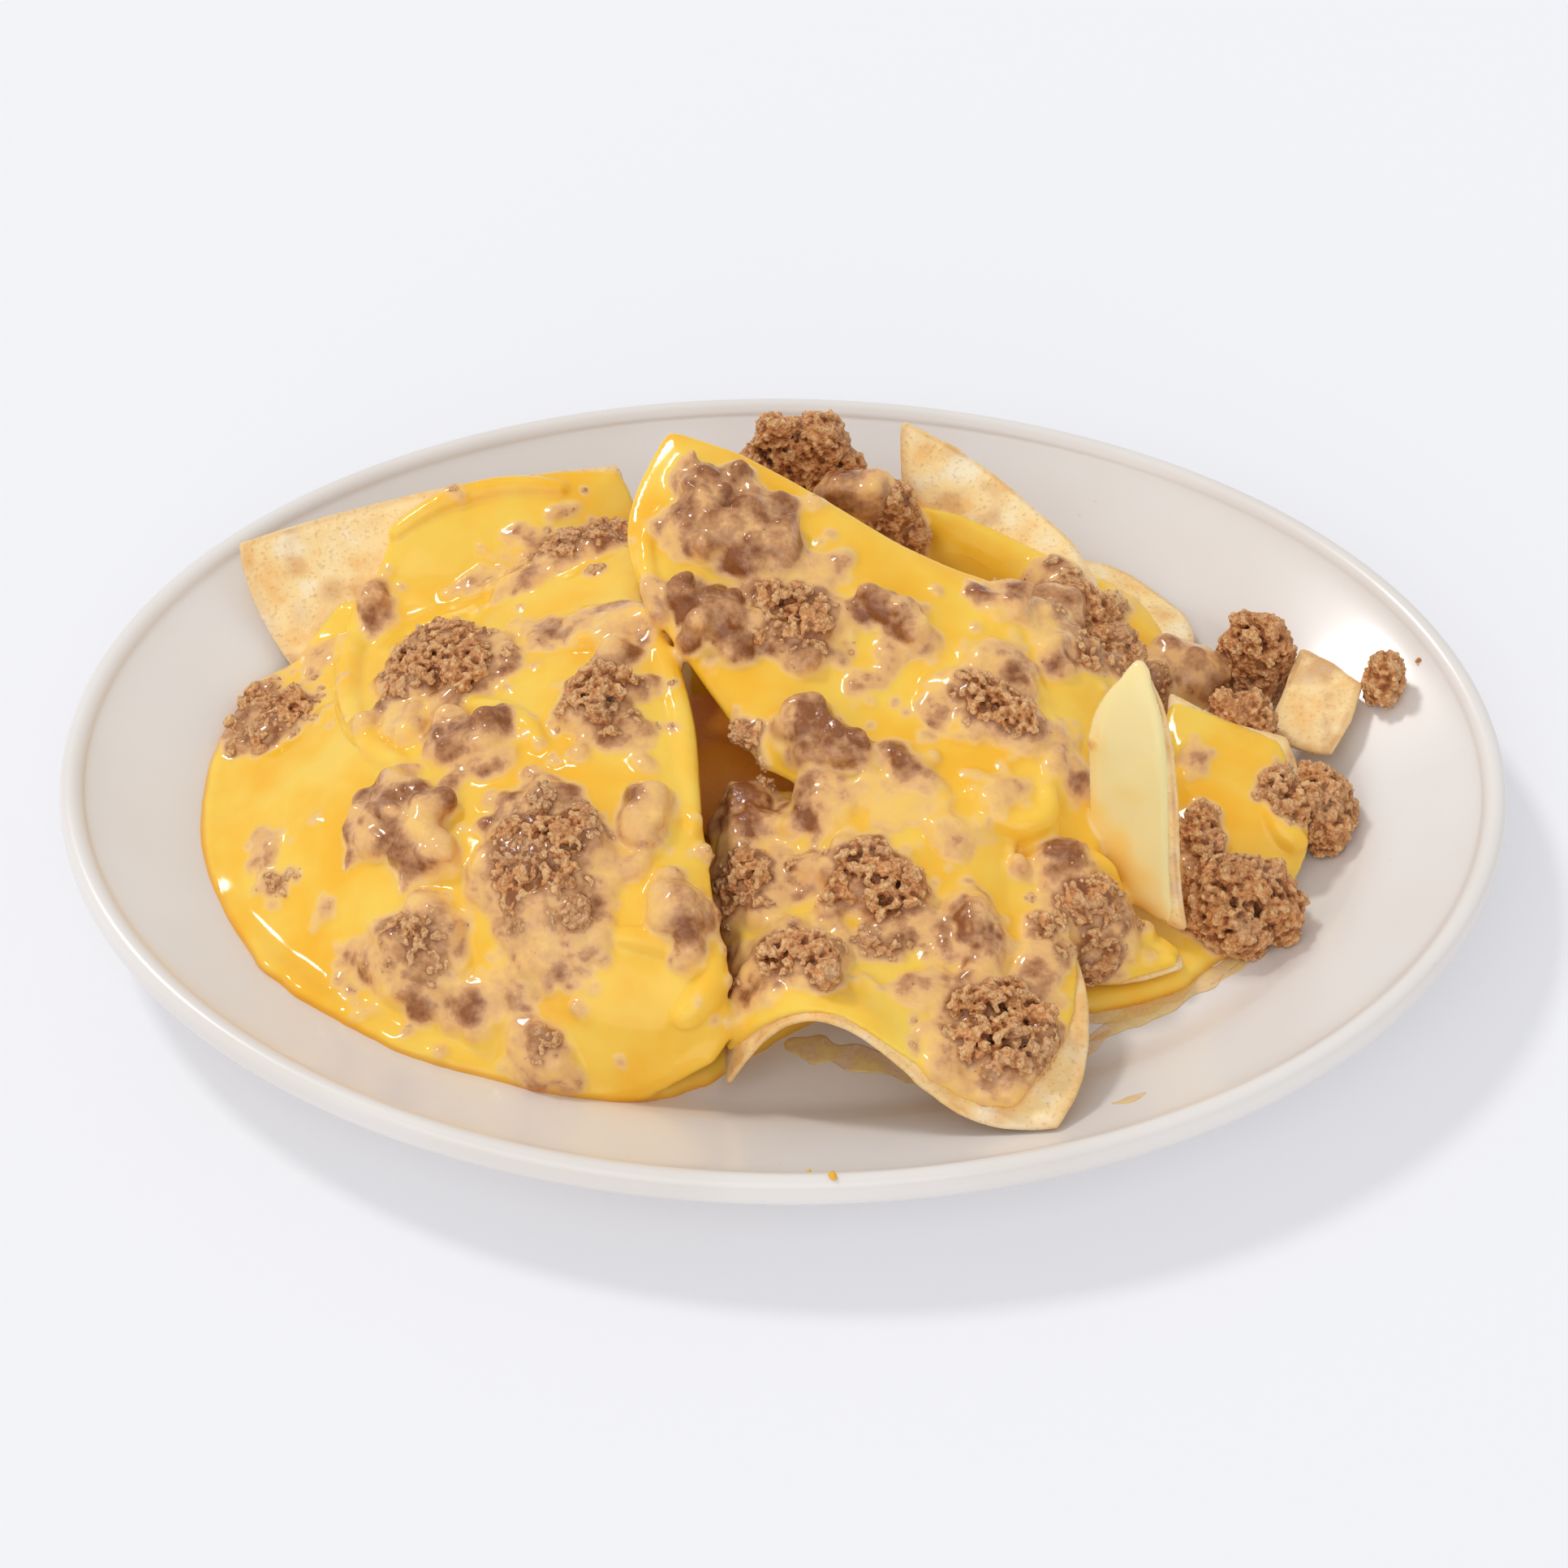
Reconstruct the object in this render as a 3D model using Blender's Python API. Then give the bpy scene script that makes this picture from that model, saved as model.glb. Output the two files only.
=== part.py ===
"""Nachos on an oval diner plate: bent tortilla chips under poured cheese sauce, with clumps of ground beef.

Everything is worked out in millimetres and turned into metres when a mesh is made. The origin is under the
middle of the plate at table height, +X runs along the plate's long axis and +Z is up.
"""

import bpy
import numpy as np

MM = 0.001

# Plate
PLATE_HALF_LENGTH = 152.0
PLATE_HALF_WIDTH = 117.5
PLATE_HEIGHT = 25.0
FLOOR_TOP = 7.0
FLOOR_UNDERSIDE = 3.0
FLOOR_EDGE = 38.0
FOOT_OUTSIDE = 46.0
FOOT_INSIDE = 51.0
PLATE_SEGMENTS = 44
# Across the rim: distance in from the outer edge, and height. The first list is the upper face.
RIM_UPPER = (
    (FLOOR_EDGE, FLOOR_TOP),
    (34.0, 7.9),
    (30.5, 9.9),
    (27.0, 12.2),
    (16.0, 17.0),
    (5.6, 22.2),
    (4.4, 24.3),
    (2.6, PLATE_HEIGHT),
    (0.8, 24.1),
    (0.0, 21.4),
)
RIM_LOWER = (
    (0.5, 18.9),
    (3.0, 17.5),
    (16.0, 12.2),
    (29.0, 5.0),
    (35.0, FLOOR_UNDERSIDE),
    (FOOT_OUTSIDE, FLOOR_UNDERSIDE),
    (FOOT_OUTSIDE + 1.0, 0.0),
    (FOOT_INSIDE, 0.0),
    (FOOT_INSIDE + 1.0, FLOOR_UNDERSIDE),
)

# Food
GAP = 0.35
CHIP_THICKNESS = 2.2
POOL_DEPTH = 3.6
SAUCE_DEPTH = 3.2
SAUCE_EDGE = 0.45
CHIP_ROWS = 8
SMALL_CHIP_ROWS = 5
SAUCE_ROWS = 8
POOL_POINTS = 32
CLUMP_POINTS = 9
CLUMP_RINGS = (0.4, 0.75, 0.95)

# A chip is a smooth sheet through a few points of its middle surface: rows run down the slope.
CHIPS = {
    "chip_back_left": (
        ((-122, 56, 31), (-95, 66, 33), (-65, 73, 36), (-37, 78, 37)),
        ((-116, 47, 21), (-91, 52, 23), (-63, 57, 27), (-36, 67, 31)),
        ((-109, 36, 13), (-85, 38, 14), (-58, 43, 17), (-33, 54, 22)),
    ),
    "chip_tall": (
        ((-25, 57, 62), (-1, 47, 58), (23, 34, 52), (49, 25, 46)),
        ((-31, 33, 55), (-3, 27, 52), (24, 16, 48), (51, 4, 43)),
        ((-21, 5, 47), (4, 2, 44), (30, -6, 41), (55, -14, 38)),
        ((-1, -16, 36), (17, -24, 36), (36, -29, 35), (55, -30, 33)),
    ),
    "chip_front": (
        ((-12, -12, 25), (4, -17, 28), (22, -24, 28), (42, -31, 27), (54, -40, 24)),
        ((-12, -30, 23), (4, -36, 27), (22, -42, 28), (42, -47, 27), (60, -55, 24)),
        ((-11, -47, 20), (3, -54, 28), (22, -60, 29), (42, -66, 26), (62, -70, 24)),
        ((-10, -64, 14), (2, -69, 30), (19, -75, 31), (40, -82, 24), (61, -86, 22)),
        ((-9, -81, 9), (1, -81, 29), (17, -85, 33), (38, -95, 21), (57, -98, 21)),
    ),
    "chip_standing": (
        ((72, -12, 62), (64, -18, 44), (57, -26, 28)),
        ((77, -21, 54), (71, -28, 38), (63, -32, 24)),
        ((81, -28, 38), (76, -34, 28), (72, -36, 20)),
        ((84, -38, 15), (80, -37, 15), (77, -35, 14)),
    ),
    "chip_back_right": (
        ((24, 83, 47), (43, 73, 41), (62, 55, 36)),
        ((25, 75, 38), (43, 62, 35), (67, 44, 33)),
        ((26, 67, 27), (44, 53, 27), (70, 35, 29)),
    ),
    "chip_low_back": (
        ((65, 71, 17), (76, 68, 15), (88, 57, 13)),
        ((67, 60, 16), (77, 56, 14), (89, 50, 13)),
        ((69, 50, 15), (79, 46, 14), (88, 43, 13)),
    ),
    "chip_far_right": (
        ((112, 40, 20), (118, 36, 19), (124, 29, 20)),
        ((108, 29, 17), (114, 26, 17), (121, 21, 18)),
        ((104, 20, 14), (110, 16, 14), (117, 13, 15)),
    ),
    "chip_right": (
        ((82, 20, 26), (94, 13, 24), (107, 11, 22)),
        ((82, 5, 22), (95, -1, 20), (109, -3, 18)),
        ((84, -12, 17), (97, -15, 14), (110, -15, 13)),
    ),
    "chip_front_right": (
        ((58, -38, 14), (69, -39, 13.2), (80, -41, 12.6)),
        ((58, -47, 13), (70, -47, 12.6), (83, -46, 12.5)),
        ((63, -58, 12.5), (73, -57, 12.5), (84, -51, 12.5)),
    ),
    "chip_mid_right": (
        ((54, 20, 38), (64, 20, 35), (74, 16, 31)),
        ((57, -3, 33), (64, -4, 31), (71, -3, 28)),
        ((48, -28, 26), (52, -26, 26), (55, -22, 27)),
    ),
    "chip_under": (
        ((-36, 28, 13), (-16, 29, 13), (7, 27, 13)),
        ((-30, 14, 17), (-13, 14, 18), (9, 13, 18)),
        ((-26, 1, 22), (-11, 1, 22), (12, 0, 22)),
    ),
    "chip_under_back": (
        ((-22, 46, 13), (10, 45, 13), (41, 39, 13)),
        ((-20, 36, 28), (10, 34, 29), (42, 27, 27)),
        ((-18, 25, 43), (10, 22, 43), (42, 13, 38)),
    ),
}

# Sauce over a chip, as shares of the chip's rows and columns: first and last row, first and last column.
SAUCE_ON_CHIP = {
    "cheese_back_left": ("chip_back_left", 0.02, 0.98, 0.38, 0.97),
    "cheese_centre": ("chip_tall", 0.0, 1.0, 0.0, 1.0),
    "cheese_front": ("chip_front", 0.0, 0.95, 0.0, 0.9),
    "cheese_standing": ("chip_standing", 0.05, 0.9, 0.0, 0.9),
    "cheese_back_right": ("chip_back_right", 0.2, 0.95, 0.2, 0.95),
    "cheese_low_back": ("chip_low_back", 0.2, 0.95, 0.05, 0.7),
    "cheese_right": ("chip_right", 0.03, 0.97, 0.03, 0.9),
    "cheese_mid_right": ("chip_mid_right", 0.0, 0.96, 0.04, 0.97),
    "cheese_front_right": ("chip_front_right", 0.3, 0.97, 0.05, 0.95),
}
# The broad sheet that runs off the left chip and down to the pool has a surface of its own.
LEFT_SHEET = (
    ((-104, 19, 15), (-87, 22, 21), (-66, 24, 31), (-47, 25, 38), (-30, 26, 43)),
    ((-114, 8, 13), (-92, 3, 24), (-69, 0, 35), (-45, 0, 42), (-21, 7, 44)),
    ((-114, -10, 13), (-91, -19, 26), (-67, -25, 36), (-41, -26, 42), (-15, -22, 43)),
    ((-107, -33, 13), (-84, -43, 24), (-62, -49, 33), (-38, -50, 39), (-12, -48, 39)),
    ((-89, -56, 13), (-69, -63, 18), (-51, -68, 24), (-31, -71, 29), (-9, -71, 31)),
    ((-69, -68, 13), (-56, -75, 13), (-41, -78, 13.5), (-27, -78, 17), (-12, -76, 23)),
)
# The left chip lies under these rows and columns of the sheet's grid: first and last row and column.
LEFT_CHIP = (0, 5, 1, 7)
# Sauce that ran down to the plate: the outline of the pool.
POOL_MIDDLE = (-15.0, -8.0)
POOL_OUTLINE = (
    (-121, 4), (-114, -32), (-95, -62), (-60, -79), (-30, -83), (-9, -73), (14, -56), (44, -54),
    (72, -54), (96, -36), (104, -6), (92, 26), (60, 52), (20, 62), (-30, 58), (-80, 46), (-113, 27),
)

# Beef on a sheet of sauce: sheet, row share, column share, half length along a column and a row, height.
BEEF_ON_SAUCE = {
    "beef_back_left": ("cheese_back_left", 0.68, 0.75, 10, 13, 9),
    "beef_left_upper": ("cheese_left", 0.10, 0.46, 13, 14, 10),
    "beef_left_ridge": ("cheese_left", 0.27, 0.82, 11, 9, 8),
    "beef_left_bump": ("cheese_left", 0.29, 0.57, 7, 9, 5),
    "beef_left_mound": ("cheese_left", 0.48, 0.42, 15, 13, 10),
    "beef_left_middle": ("cheese_left", 0.57, 0.68, 16, 12, 10),
    "beef_left_low": ("cheese_left", 0.70, 0.36, 8, 13, 7),
    "beef_left_side": ("cheese_left", 0.66, 0.92, 11, 6, 7),
    "beef_left_knob": ("cheese_left", 0.50, 0.86, 7, 5.5, 6),
    "beef_left_front": ("cheese_left", 0.92, 0.53, 5.5, 5.5, 6),
    "beef_tall_top": ("cheese_centre", 0.19, 0.23, 12, 16, 6),
    "beef_tall_left": ("cheese_centre", 0.56, 0.13, 12, 9, 7),
    "beef_tall_middle": ("cheese_centre", 0.50, 0.37, 9, 9, 8),
    "beef_tall_back": ("cheese_centre", 0.34, 0.65, 6, 8, 5),
    "beef_tall_front": ("cheese_centre", 0.85, 0.32, 8, 10, 8),
    "beef_tall_small": ("cheese_centre", 0.90, 0.55, 5, 6, 4),
    "beef_tall_right": ("cheese_centre", 0.54, 0.88, 8, 11, 9),
    "beef_front_middle": ("cheese_front", 0.37, 0.50, 10, 16, 11),
    "beef_front_side": ("cheese_front", 0.41, 0.13, 9, 7, 8),
    "beef_front_left": ("cheese_front", 0.75, 0.34, 9, 11, 8),
    "beef_front_right": ("cheese_front", 0.745, 0.88, 12, 12, 11),
    "beef_front_back": ("cheese_front", 0.43, 0.80, 8, 6, 7),
    "beef_front_top": ("cheese_front", 0.15, 0.16, 7, 9, 6),
    "beef_gap_right": ("cheese_front_right", 0.20, 0.25, 7, 8, 8),
}
# Beef heaped straight on the plate or the pool: middle x and y, half length, half width, top height.
BEEF_ON_PLATE = {
    "beef_back": (3, 78, 18, 10, 50),
    "beef_back_inner": (22, 63, 8, 8, 44),
    "beef_inner_right": (55, 37, 10, 7, 40),
    "beef_far_right": (102, 41, 9, 8, 27),
    "beef_right_inner": (86, 33, 7, 6, 25),
    "beef_right_edge": (113, -2, 8, 11, 21),
    "beef_right_front": (96, -30, 13, 11, 23),
    "beef_left_edge": (-113, 19, 8, 10, 20),
    "beef_rim_crumb": (129, 30, 4.5, 4.5, 28),
}

# Pieces that are hollowed to leave room for what presses into them.
ROOM_FOR = {
    "beef_back_inner": ("chip_back_right", "cheese_back_right", "cheese_pool"),
    "beef_inner_right": ("chip_back_right", "cheese_back_right"),
    "beef_front_middle": ("beef_front_back",),
    "beef_front_left": ("cheese_left",),
    "beef_left_edge": ("cheese_left", "cheese_pool"),
    "beef_right_front": ("cheese_pool",),
    "beef_right_inner": ("cheese_pool",),
    "beef_far_right": ("cheese_pool", "chip_far_right"),
    "beef_right_edge": ("chip_right", "cheese_right", "cheese_pool"),
}

COLOURS = {
    "plate": ((0.80, 0.77, 0.74), 0.28),
    "chip": ((0.80, 0.58, 0.30), 0.62),
    "cheese": ((0.93, 0.58, 0.14), 0.30),
    "beef": ((0.27, 0.16, 0.10), 0.62),
}


def clear_scene():
    for old in list(bpy.data.objects):
        bpy.data.objects.remove(old, do_unlink=True)


def material(name):
    """The Principled material of one kind of food or of the plate."""
    found = bpy.data.materials.get(name)
    if found:
        return found
    colour, roughness = COLOURS[name]
    made = bpy.data.materials.new(name)
    made.use_nodes = True
    shader = made.node_tree.nodes["Principled BSDF"]
    shader.inputs["Base Color"].default_value = (*colour, 1.0)
    shader.inputs["Roughness"].default_value = roughness
    shader.inputs["Metallic"].default_value = 0.0
    return made


def add_object(name, points, faces, kind):
    """A smooth-shaded object from points in millimetres."""
    mesh = bpy.data.meshes.new(name)
    mesh.from_pydata((np.asarray(points, float) * MM).tolist(), [], faces)
    mesh.validate()
    mesh.shade_smooth()
    mesh.materials.append(material(kind))
    made = bpy.data.objects.new(name, mesh)
    bpy.context.scene.collection.objects.link(made)
    return made


def spline_weights(count, at):
    """Rows of weights that turn count evenly spaced values into a natural cubic spline at the shares `at`."""
    place = np.asarray(at, float) * (count - 1)
    left = np.eye(count)
    right = np.zeros((count, count))
    for i in range(1, count - 1):
        left[i, i - 1 : i + 2] = (1, 4, 1)
        right[i, i - 1 : i + 2] = (6, -12, 6)
    curvature = np.linalg.solve(left, right)
    i = np.clip(np.floor(place).astype(int), 0, count - 2)
    t = place - i
    rows = np.arange(len(place))
    weights = np.zeros((len(place), count))
    weights[rows, i] += 1 - t
    weights[rows, i + 1] += t
    weights += (((1 - t) ** 3 - (1 - t)) / 6)[:, None] * curvature[i]
    weights += ((t**3 - t) / 6)[:, None] * curvature[i + 1]
    return weights


def sheet(net, u, v):
    """Points and upward normals of the smooth sheet through `net`, at row shares u and column shares v."""
    net = np.asarray(net, float)
    step = 1e-3

    def at(rows, columns):
        across = spline_weights(net.shape[1], columns)
        return np.einsum("ai,ijk,bj->abk", spline_weights(net.shape[0], rows), net, across)

    down = at(u + step, v) - at(u - step, v)
    across = at(u, v + step) - at(u, v - step)
    normal = np.cross(down, across)
    normal /= np.linalg.norm(normal, axis=-1, keepdims=True)
    return at(u, v), normal * np.where(normal[..., 2:] < 0, -1.0, 1.0)


def slab_faces(rows, columns):
    """Faces of a closed slab whose upper grid of points is followed by its lower grid, facing out."""
    upper = np.arange(rows * columns).reshape(rows, columns)
    lower = upper + rows * columns
    faces = []
    for i in range(rows - 1):
        for j in range(columns - 1):
            faces.append((upper[i, j], upper[i + 1, j], upper[i + 1, j + 1], upper[i, j + 1]))
            faces.append((lower[i, j], lower[i, j + 1], lower[i + 1, j + 1], lower[i + 1, j]))
    rim = list(zip([0] * columns, range(columns)))
    rim += list(zip(range(1, rows), [columns - 1] * (rows - 1)))
    rim += list(zip([rows - 1] * (columns - 1), range(columns - 2, -1, -1)))
    rim += list(zip(range(rows - 2, 0, -1), [0] * (rows - 2)))
    for here, there in zip(rim, rim[1:] + rim[:1]):
        faces.append((upper[here], upper[there], lower[there], lower[here]))
    return [tuple(int(k) for k in face) for face in faces]


def add_slab(name, points, normal, below, above, kind):
    """A closed slab between two offsets of a sheet. `above` may vary over the sheet."""
    rows, columns = points.shape[:2]
    above = np.broadcast_to(above, (rows, columns))[..., None]
    upper = points + normal * above
    lower = points + normal * below
    grids = np.concatenate([upper.reshape(-1, 3), lower.reshape(-1, 3)])
    faces = slab_faces(rows, columns)
    a, b, c = (grids[k] for k in faces[0][:3])
    if np.cross(b - a, c - b) @ normal[0, 0] < 0:
        faces = [face[::-1] for face in faces]
    return add_object(name, grids, faces, kind)


def add_chip(name):
    share = np.linspace(0, 1, SMALL_CHIP_ROWS if len(CHIPS[name]) == 3 else CHIP_ROWS)
    points, normal = sheet(CHIPS[name], share, share)
    add_slab(name, points, normal, -CHIP_THICKNESS / 2, CHIP_THICKNESS / 2, "chip")


def add_left_chip():
    """The chip that holds up the broad left sheet of sauce, and so follows its underside."""
    first_row, last_row, first_column, last_column = LEFT_CHIP
    rows = np.arange(first_row, last_row + 1) / (SAUCE_ROWS - 1)
    columns = np.arange(first_column, last_column + 1) / (SAUCE_ROWS - 1)
    points, normal = sheet(LEFT_SHEET, rows, columns)
    add_slab("chip_left", points, normal, -CHIP_THICKNESS - GAP, -GAP, "chip")


def sauce_sheet(name, u, v):
    """The upper side of what a sheet of sauce lies on, at its own row and column shares."""
    if name == "cheese_left":
        return sheet(LEFT_SHEET, u, v)
    chip, first_row, last_row, first_column, last_column = SAUCE_ON_CHIP[name]
    rows = first_row + (last_row - first_row) * u
    columns = first_column + (last_column - first_column) * v
    points, normal = sheet(CHIPS[chip], rows, columns)
    return points + normal * (CHIP_THICKNESS / 2 + 2 * GAP), normal


def sauce_depth(u, v):
    """Depth of a sheet of sauce, which thins in a rounded edge all round."""
    from_edge = np.minimum(np.minimum(u, 1 - u)[:, None], np.minimum(v, 1 - v)[None, :])
    rounded = np.sqrt(np.clip(from_edge / 0.12, 0, 1))
    return SAUCE_DEPTH * (SAUCE_EDGE + (1 - SAUCE_EDGE) * rounded)


def add_sauce(name):
    share = np.linspace(0, 1, SAUCE_ROWS)
    points, normal = sauce_sheet(name, share, share)
    add_slab(name, points, normal, 0.0, sauce_depth(share, share), "cheese")


def inward(x, y):
    """How far in from the plate's outer edge each place is, along the rings of the rim."""
    low = np.zeros_like(x)
    high = np.full_like(x, PLATE_HALF_WIDTH - 1)
    for _ in range(40):
        middle = (low + high) / 2
        outside = (x / (PLATE_HALF_LENGTH - middle)) ** 2 + (y / (PLATE_HALF_WIDTH - middle)) ** 2 > 1
        high = np.where(outside, middle, high)
        low = np.where(outside, low, middle)
    return low


def plate_top(x, y):
    """Height of the plate's upper face."""
    across = np.array(sorted(RIM_UPPER))
    return np.interp(inward(x, y), across[:, 0], across[:, 1])


def rings_to_solid(name, rings, kind, first_point, last_point):
    """A closed solid from rings of points in order, closed at each end by a point."""
    count = len(rings[0])
    points = np.concatenate([[first_point], *rings, [last_point]])
    last = len(points) - 1
    faces = [(0, 1 + k, 1 + (k + 1) % count) for k in range(count)]
    for ring in range(len(rings) - 1):
        start = 1 + ring * count
        for k in range(count):
            after = (k + 1) % count
            faces.append((start + k, start + count + k, start + count + after, start + after))
    start = last - count
    faces += [(start + k, last, start + (k + 1) % count) for k in range(count)]
    return add_object(name, points, faces, kind)


def add_plate():
    angle = np.linspace(0, 2 * np.pi, PLATE_SEGMENTS, endpoint=False)
    rings = []

    def ring(inset, height, share=1.0):
        x = (PLATE_HALF_LENGTH - inset) * share * np.cos(angle)
        y = (PLATE_HALF_WIDTH - inset) * share * np.sin(angle)
        rings.append(np.stack([x, y, np.full_like(x, height)], 1))

    ring(FLOOR_EDGE, FLOOR_TOP, 0.5)
    for inset, height in RIM_UPPER + RIM_LOWER:
        ring(inset, height)
    rings_to_solid("plate", rings, "plate", (0, 0, FLOOR_TOP), (0, 0, FLOOR_UNDERSIDE))


def closed_outline(corners, count):
    """A smooth closed curve through corners, by repeating them either side of one full turn."""
    corners = np.asarray(corners, float)
    wrapped = np.concatenate([corners[-4:], corners, corners[:4]])
    at = 4 + np.arange(count) / count * len(corners)
    return spline_weights(len(wrapped), at / (len(wrapped) - 1)) @ wrapped


def add_pool():
    """Sauce lying on the plate, domed to a rounded edge."""
    outline = closed_outline(POOL_OUTLINE, POOL_POINTS)
    middle = np.array(POOL_MIDDLE)
    rings = []

    def ring(share, depth):
        place = middle + (outline - middle) * share
        height = plate_top(place[:, 0], place[:, 1]) + GAP + depth
        rings.append(np.column_stack([place, height]))

    for share in (0.5, 0.85, 0.95, 0.99):
        ring(share, POOL_DEPTH * (1 - share**8) ** 0.5)
    ring(1.0, 0.5)
    for share in (0.99, 0.85, 0.5):
        ring(share, 0.0)
    top = (*POOL_MIDDLE, FLOOR_TOP + GAP + POOL_DEPTH)
    rings_to_solid("cheese_pool", rings, "cheese", top, (*POOL_MIDDLE, FLOOR_TOP + GAP))


def pool_share(x, y):
    """Where a place lies between the middle of the pool, 0, and its outline, 1."""
    outline = closed_outline(POOL_OUTLINE, 120) - POOL_MIDDLE
    reach = np.hypot(*outline.T)
    order = np.argsort(np.arctan2(outline[:, 1], outline[:, 0]))
    around = np.arctan2(outline[:, 1], outline[:, 0])[order]
    angle = np.arctan2(y - POOL_MIDDLE[1], x - POOL_MIDDLE[0])
    edge = np.interp(angle, around, reach[order], period=2 * np.pi)
    return np.hypot(x - POOL_MIDDLE[0], y - POOL_MIDDLE[1]) / edge


def ground_top(x, y):
    """Height of the pool where there is one, and of the plate elsewhere."""
    share = np.clip(pool_share(x, y), 0, 1)
    depth = np.where(share < 1, (POOL_DEPTH + GAP) * (1 - share**8) ** 0.5, 0)
    return plate_top(x, y) + depth + GAP


def knobbly(angle, ring, seed):
    """A rough clump's outline and height: a few waves whose phases come from its seed."""
    waves = np.sin(3 * angle + seed) + 0.7 * np.sin(5 * angle - 1.7 * seed) + 0.5 * np.sin(7 * angle + ring)
    return waves / 2.2


def add_clump(name, place, height, seed):
    """A rough clump of beef. place(a, b) gives points and normals for shares -1..1 of its half sizes."""
    angle = np.linspace(0, 2 * np.pi, CLUMP_POINTS, endpoint=False)
    rings = []

    def ring(share, lift):
        reach = share * (1 + 0.12 * knobbly(angle, 0, seed))
        points, normal = place(reach * np.cos(angle), reach * np.sin(angle))
        rings.append(points + normal * np.broadcast_to(lift, angle.shape)[:, None])

    for share in CLUMP_RINGS:
        lift = height * (1 - share**2.6) ** 0.5 * (1 + 0.14 * knobbly(angle, 4 * share, seed + 2))
        ring(share, np.maximum(lift, 0.25 * height))
    ring(1.0, 0.15 * height)
    for share in (0.97, 0.55):
        ring(share, 0.0)
    middle, up = place(np.zeros(1), np.zeros(1))
    rings_to_solid(name, rings, "beef", middle[0] + up[0] * height, middle[0])


def add_clump_on_sauce(name, seed):
    carrier, row, column, half_down, half_across, height = BEEF_ON_SAUCE[name]
    near = np.array([row - 0.02, row + 0.02])
    beside = np.array([column - 0.02, column + 0.02])
    corners, _ = sauce_sheet(carrier, near, beside)
    down = np.linalg.norm(corners[1] - corners[0], axis=-1).mean() / 0.04
    across = np.linalg.norm(corners[:, 1] - corners[:, 0], axis=-1).mean() / 0.04

    def place(a, b):
        points = []
        normals = []
        for u, v in zip(row - b * half_down / down, column + a * half_across / across):
            point, normal = sauce_sheet(carrier, np.array([u]), np.array([v]))
            points.append(point[0, 0] + normal[0, 0] * (SAUCE_DEPTH + GAP))
            normals.append(normal[0, 0])
        return np.array(points), np.array(normals)

    add_clump(name, place, height, seed)


def add_clump_on_plate(name, seed):
    x, y, half_length, half_width, top = BEEF_ON_PLATE[name]
    base = float(ground_top(np.array([x]), np.array([y]))[0])

    def place(a, b):
        across = x + a * half_length
        along = y + b * half_width
        points = np.column_stack([across, along, ground_top(across, along)])
        return points, np.tile((0.0, 0.0, 1.0), (len(points), 1))

    add_clump(name, place, top - base, seed)


def leave_room(name, pressing):
    """Hollows a piece by a slightly larger copy of the one that presses into it."""
    target = bpy.data.objects[name]
    larger = bpy.data.objects[pressing].data.copy()
    place = np.empty(3 * len(larger.vertices))
    out = np.empty_like(place)
    larger.vertices.foreach_get("co", place)
    larger.vertices.foreach_get("normal", out)
    larger.vertices.foreach_set("co", place + out * 1.4 * GAP * MM)
    helper = bpy.data.objects.new(f"room_in_{name}_for_{pressing}", larger)
    bpy.context.scene.collection.objects.link(helper)
    helper.hide_render = True
    helper.display_type = "WIRE"
    hollow = target.modifiers.new(f"Room for {pressing}", "BOOLEAN")
    hollow.operation = "DIFFERENCE"
    hollow.solver = "EXACT"
    hollow.object = helper


def main():
    clear_scene()
    add_plate()
    add_pool()
    for name in CHIPS:
        add_chip(name)
    add_left_chip()
    for name in ("cheese_left", *SAUCE_ON_CHIP):
        add_sauce(name)
    for seed, name in enumerate(BEEF_ON_SAUCE):
        add_clump_on_sauce(name, seed)
    for seed, name in enumerate(BEEF_ON_PLATE):
        add_clump_on_plate(name, seed + 40)
    for name, pressing in ROOM_FOR.items():
        for other in pressing:
            leave_room(name, other)


main()
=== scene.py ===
"""Nachos on an oval platter: bent tortilla chips, poured cheese sauce and crumbled beef, with their
finishes.

Lengths are worked out in millimetres and turned into metres when a mesh is made. Every piece lies in the
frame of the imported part: +X along the platter, +Z up, -Y towards the front.
"""

import bpy
import numpy as np
import openvdb
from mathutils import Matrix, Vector


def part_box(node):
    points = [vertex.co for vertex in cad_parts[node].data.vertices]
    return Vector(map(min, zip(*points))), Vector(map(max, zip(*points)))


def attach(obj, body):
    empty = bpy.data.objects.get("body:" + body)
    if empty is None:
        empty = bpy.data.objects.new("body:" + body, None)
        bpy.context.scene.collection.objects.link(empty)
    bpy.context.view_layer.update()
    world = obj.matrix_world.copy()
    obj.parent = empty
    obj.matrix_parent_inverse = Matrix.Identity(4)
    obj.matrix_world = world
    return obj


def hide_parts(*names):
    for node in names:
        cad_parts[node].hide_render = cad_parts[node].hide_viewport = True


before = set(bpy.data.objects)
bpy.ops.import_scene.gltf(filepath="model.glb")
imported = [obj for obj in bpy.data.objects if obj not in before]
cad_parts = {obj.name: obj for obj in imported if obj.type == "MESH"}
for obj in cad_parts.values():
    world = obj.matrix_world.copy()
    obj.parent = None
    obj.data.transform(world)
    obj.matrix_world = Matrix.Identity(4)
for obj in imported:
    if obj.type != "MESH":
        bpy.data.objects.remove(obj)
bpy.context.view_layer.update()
MM = 0.001

# ---------------------------------------------------------------- camera
CAMERA_ELEVATION = 45.16
CAMERA_AZIMUTH = 1.43
CAMERA_DISTANCE = 0.900
CAMERA_TARGET = (0.00035, 0.0, 0.01605)
CAMERA_LENS = 97.5


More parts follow.
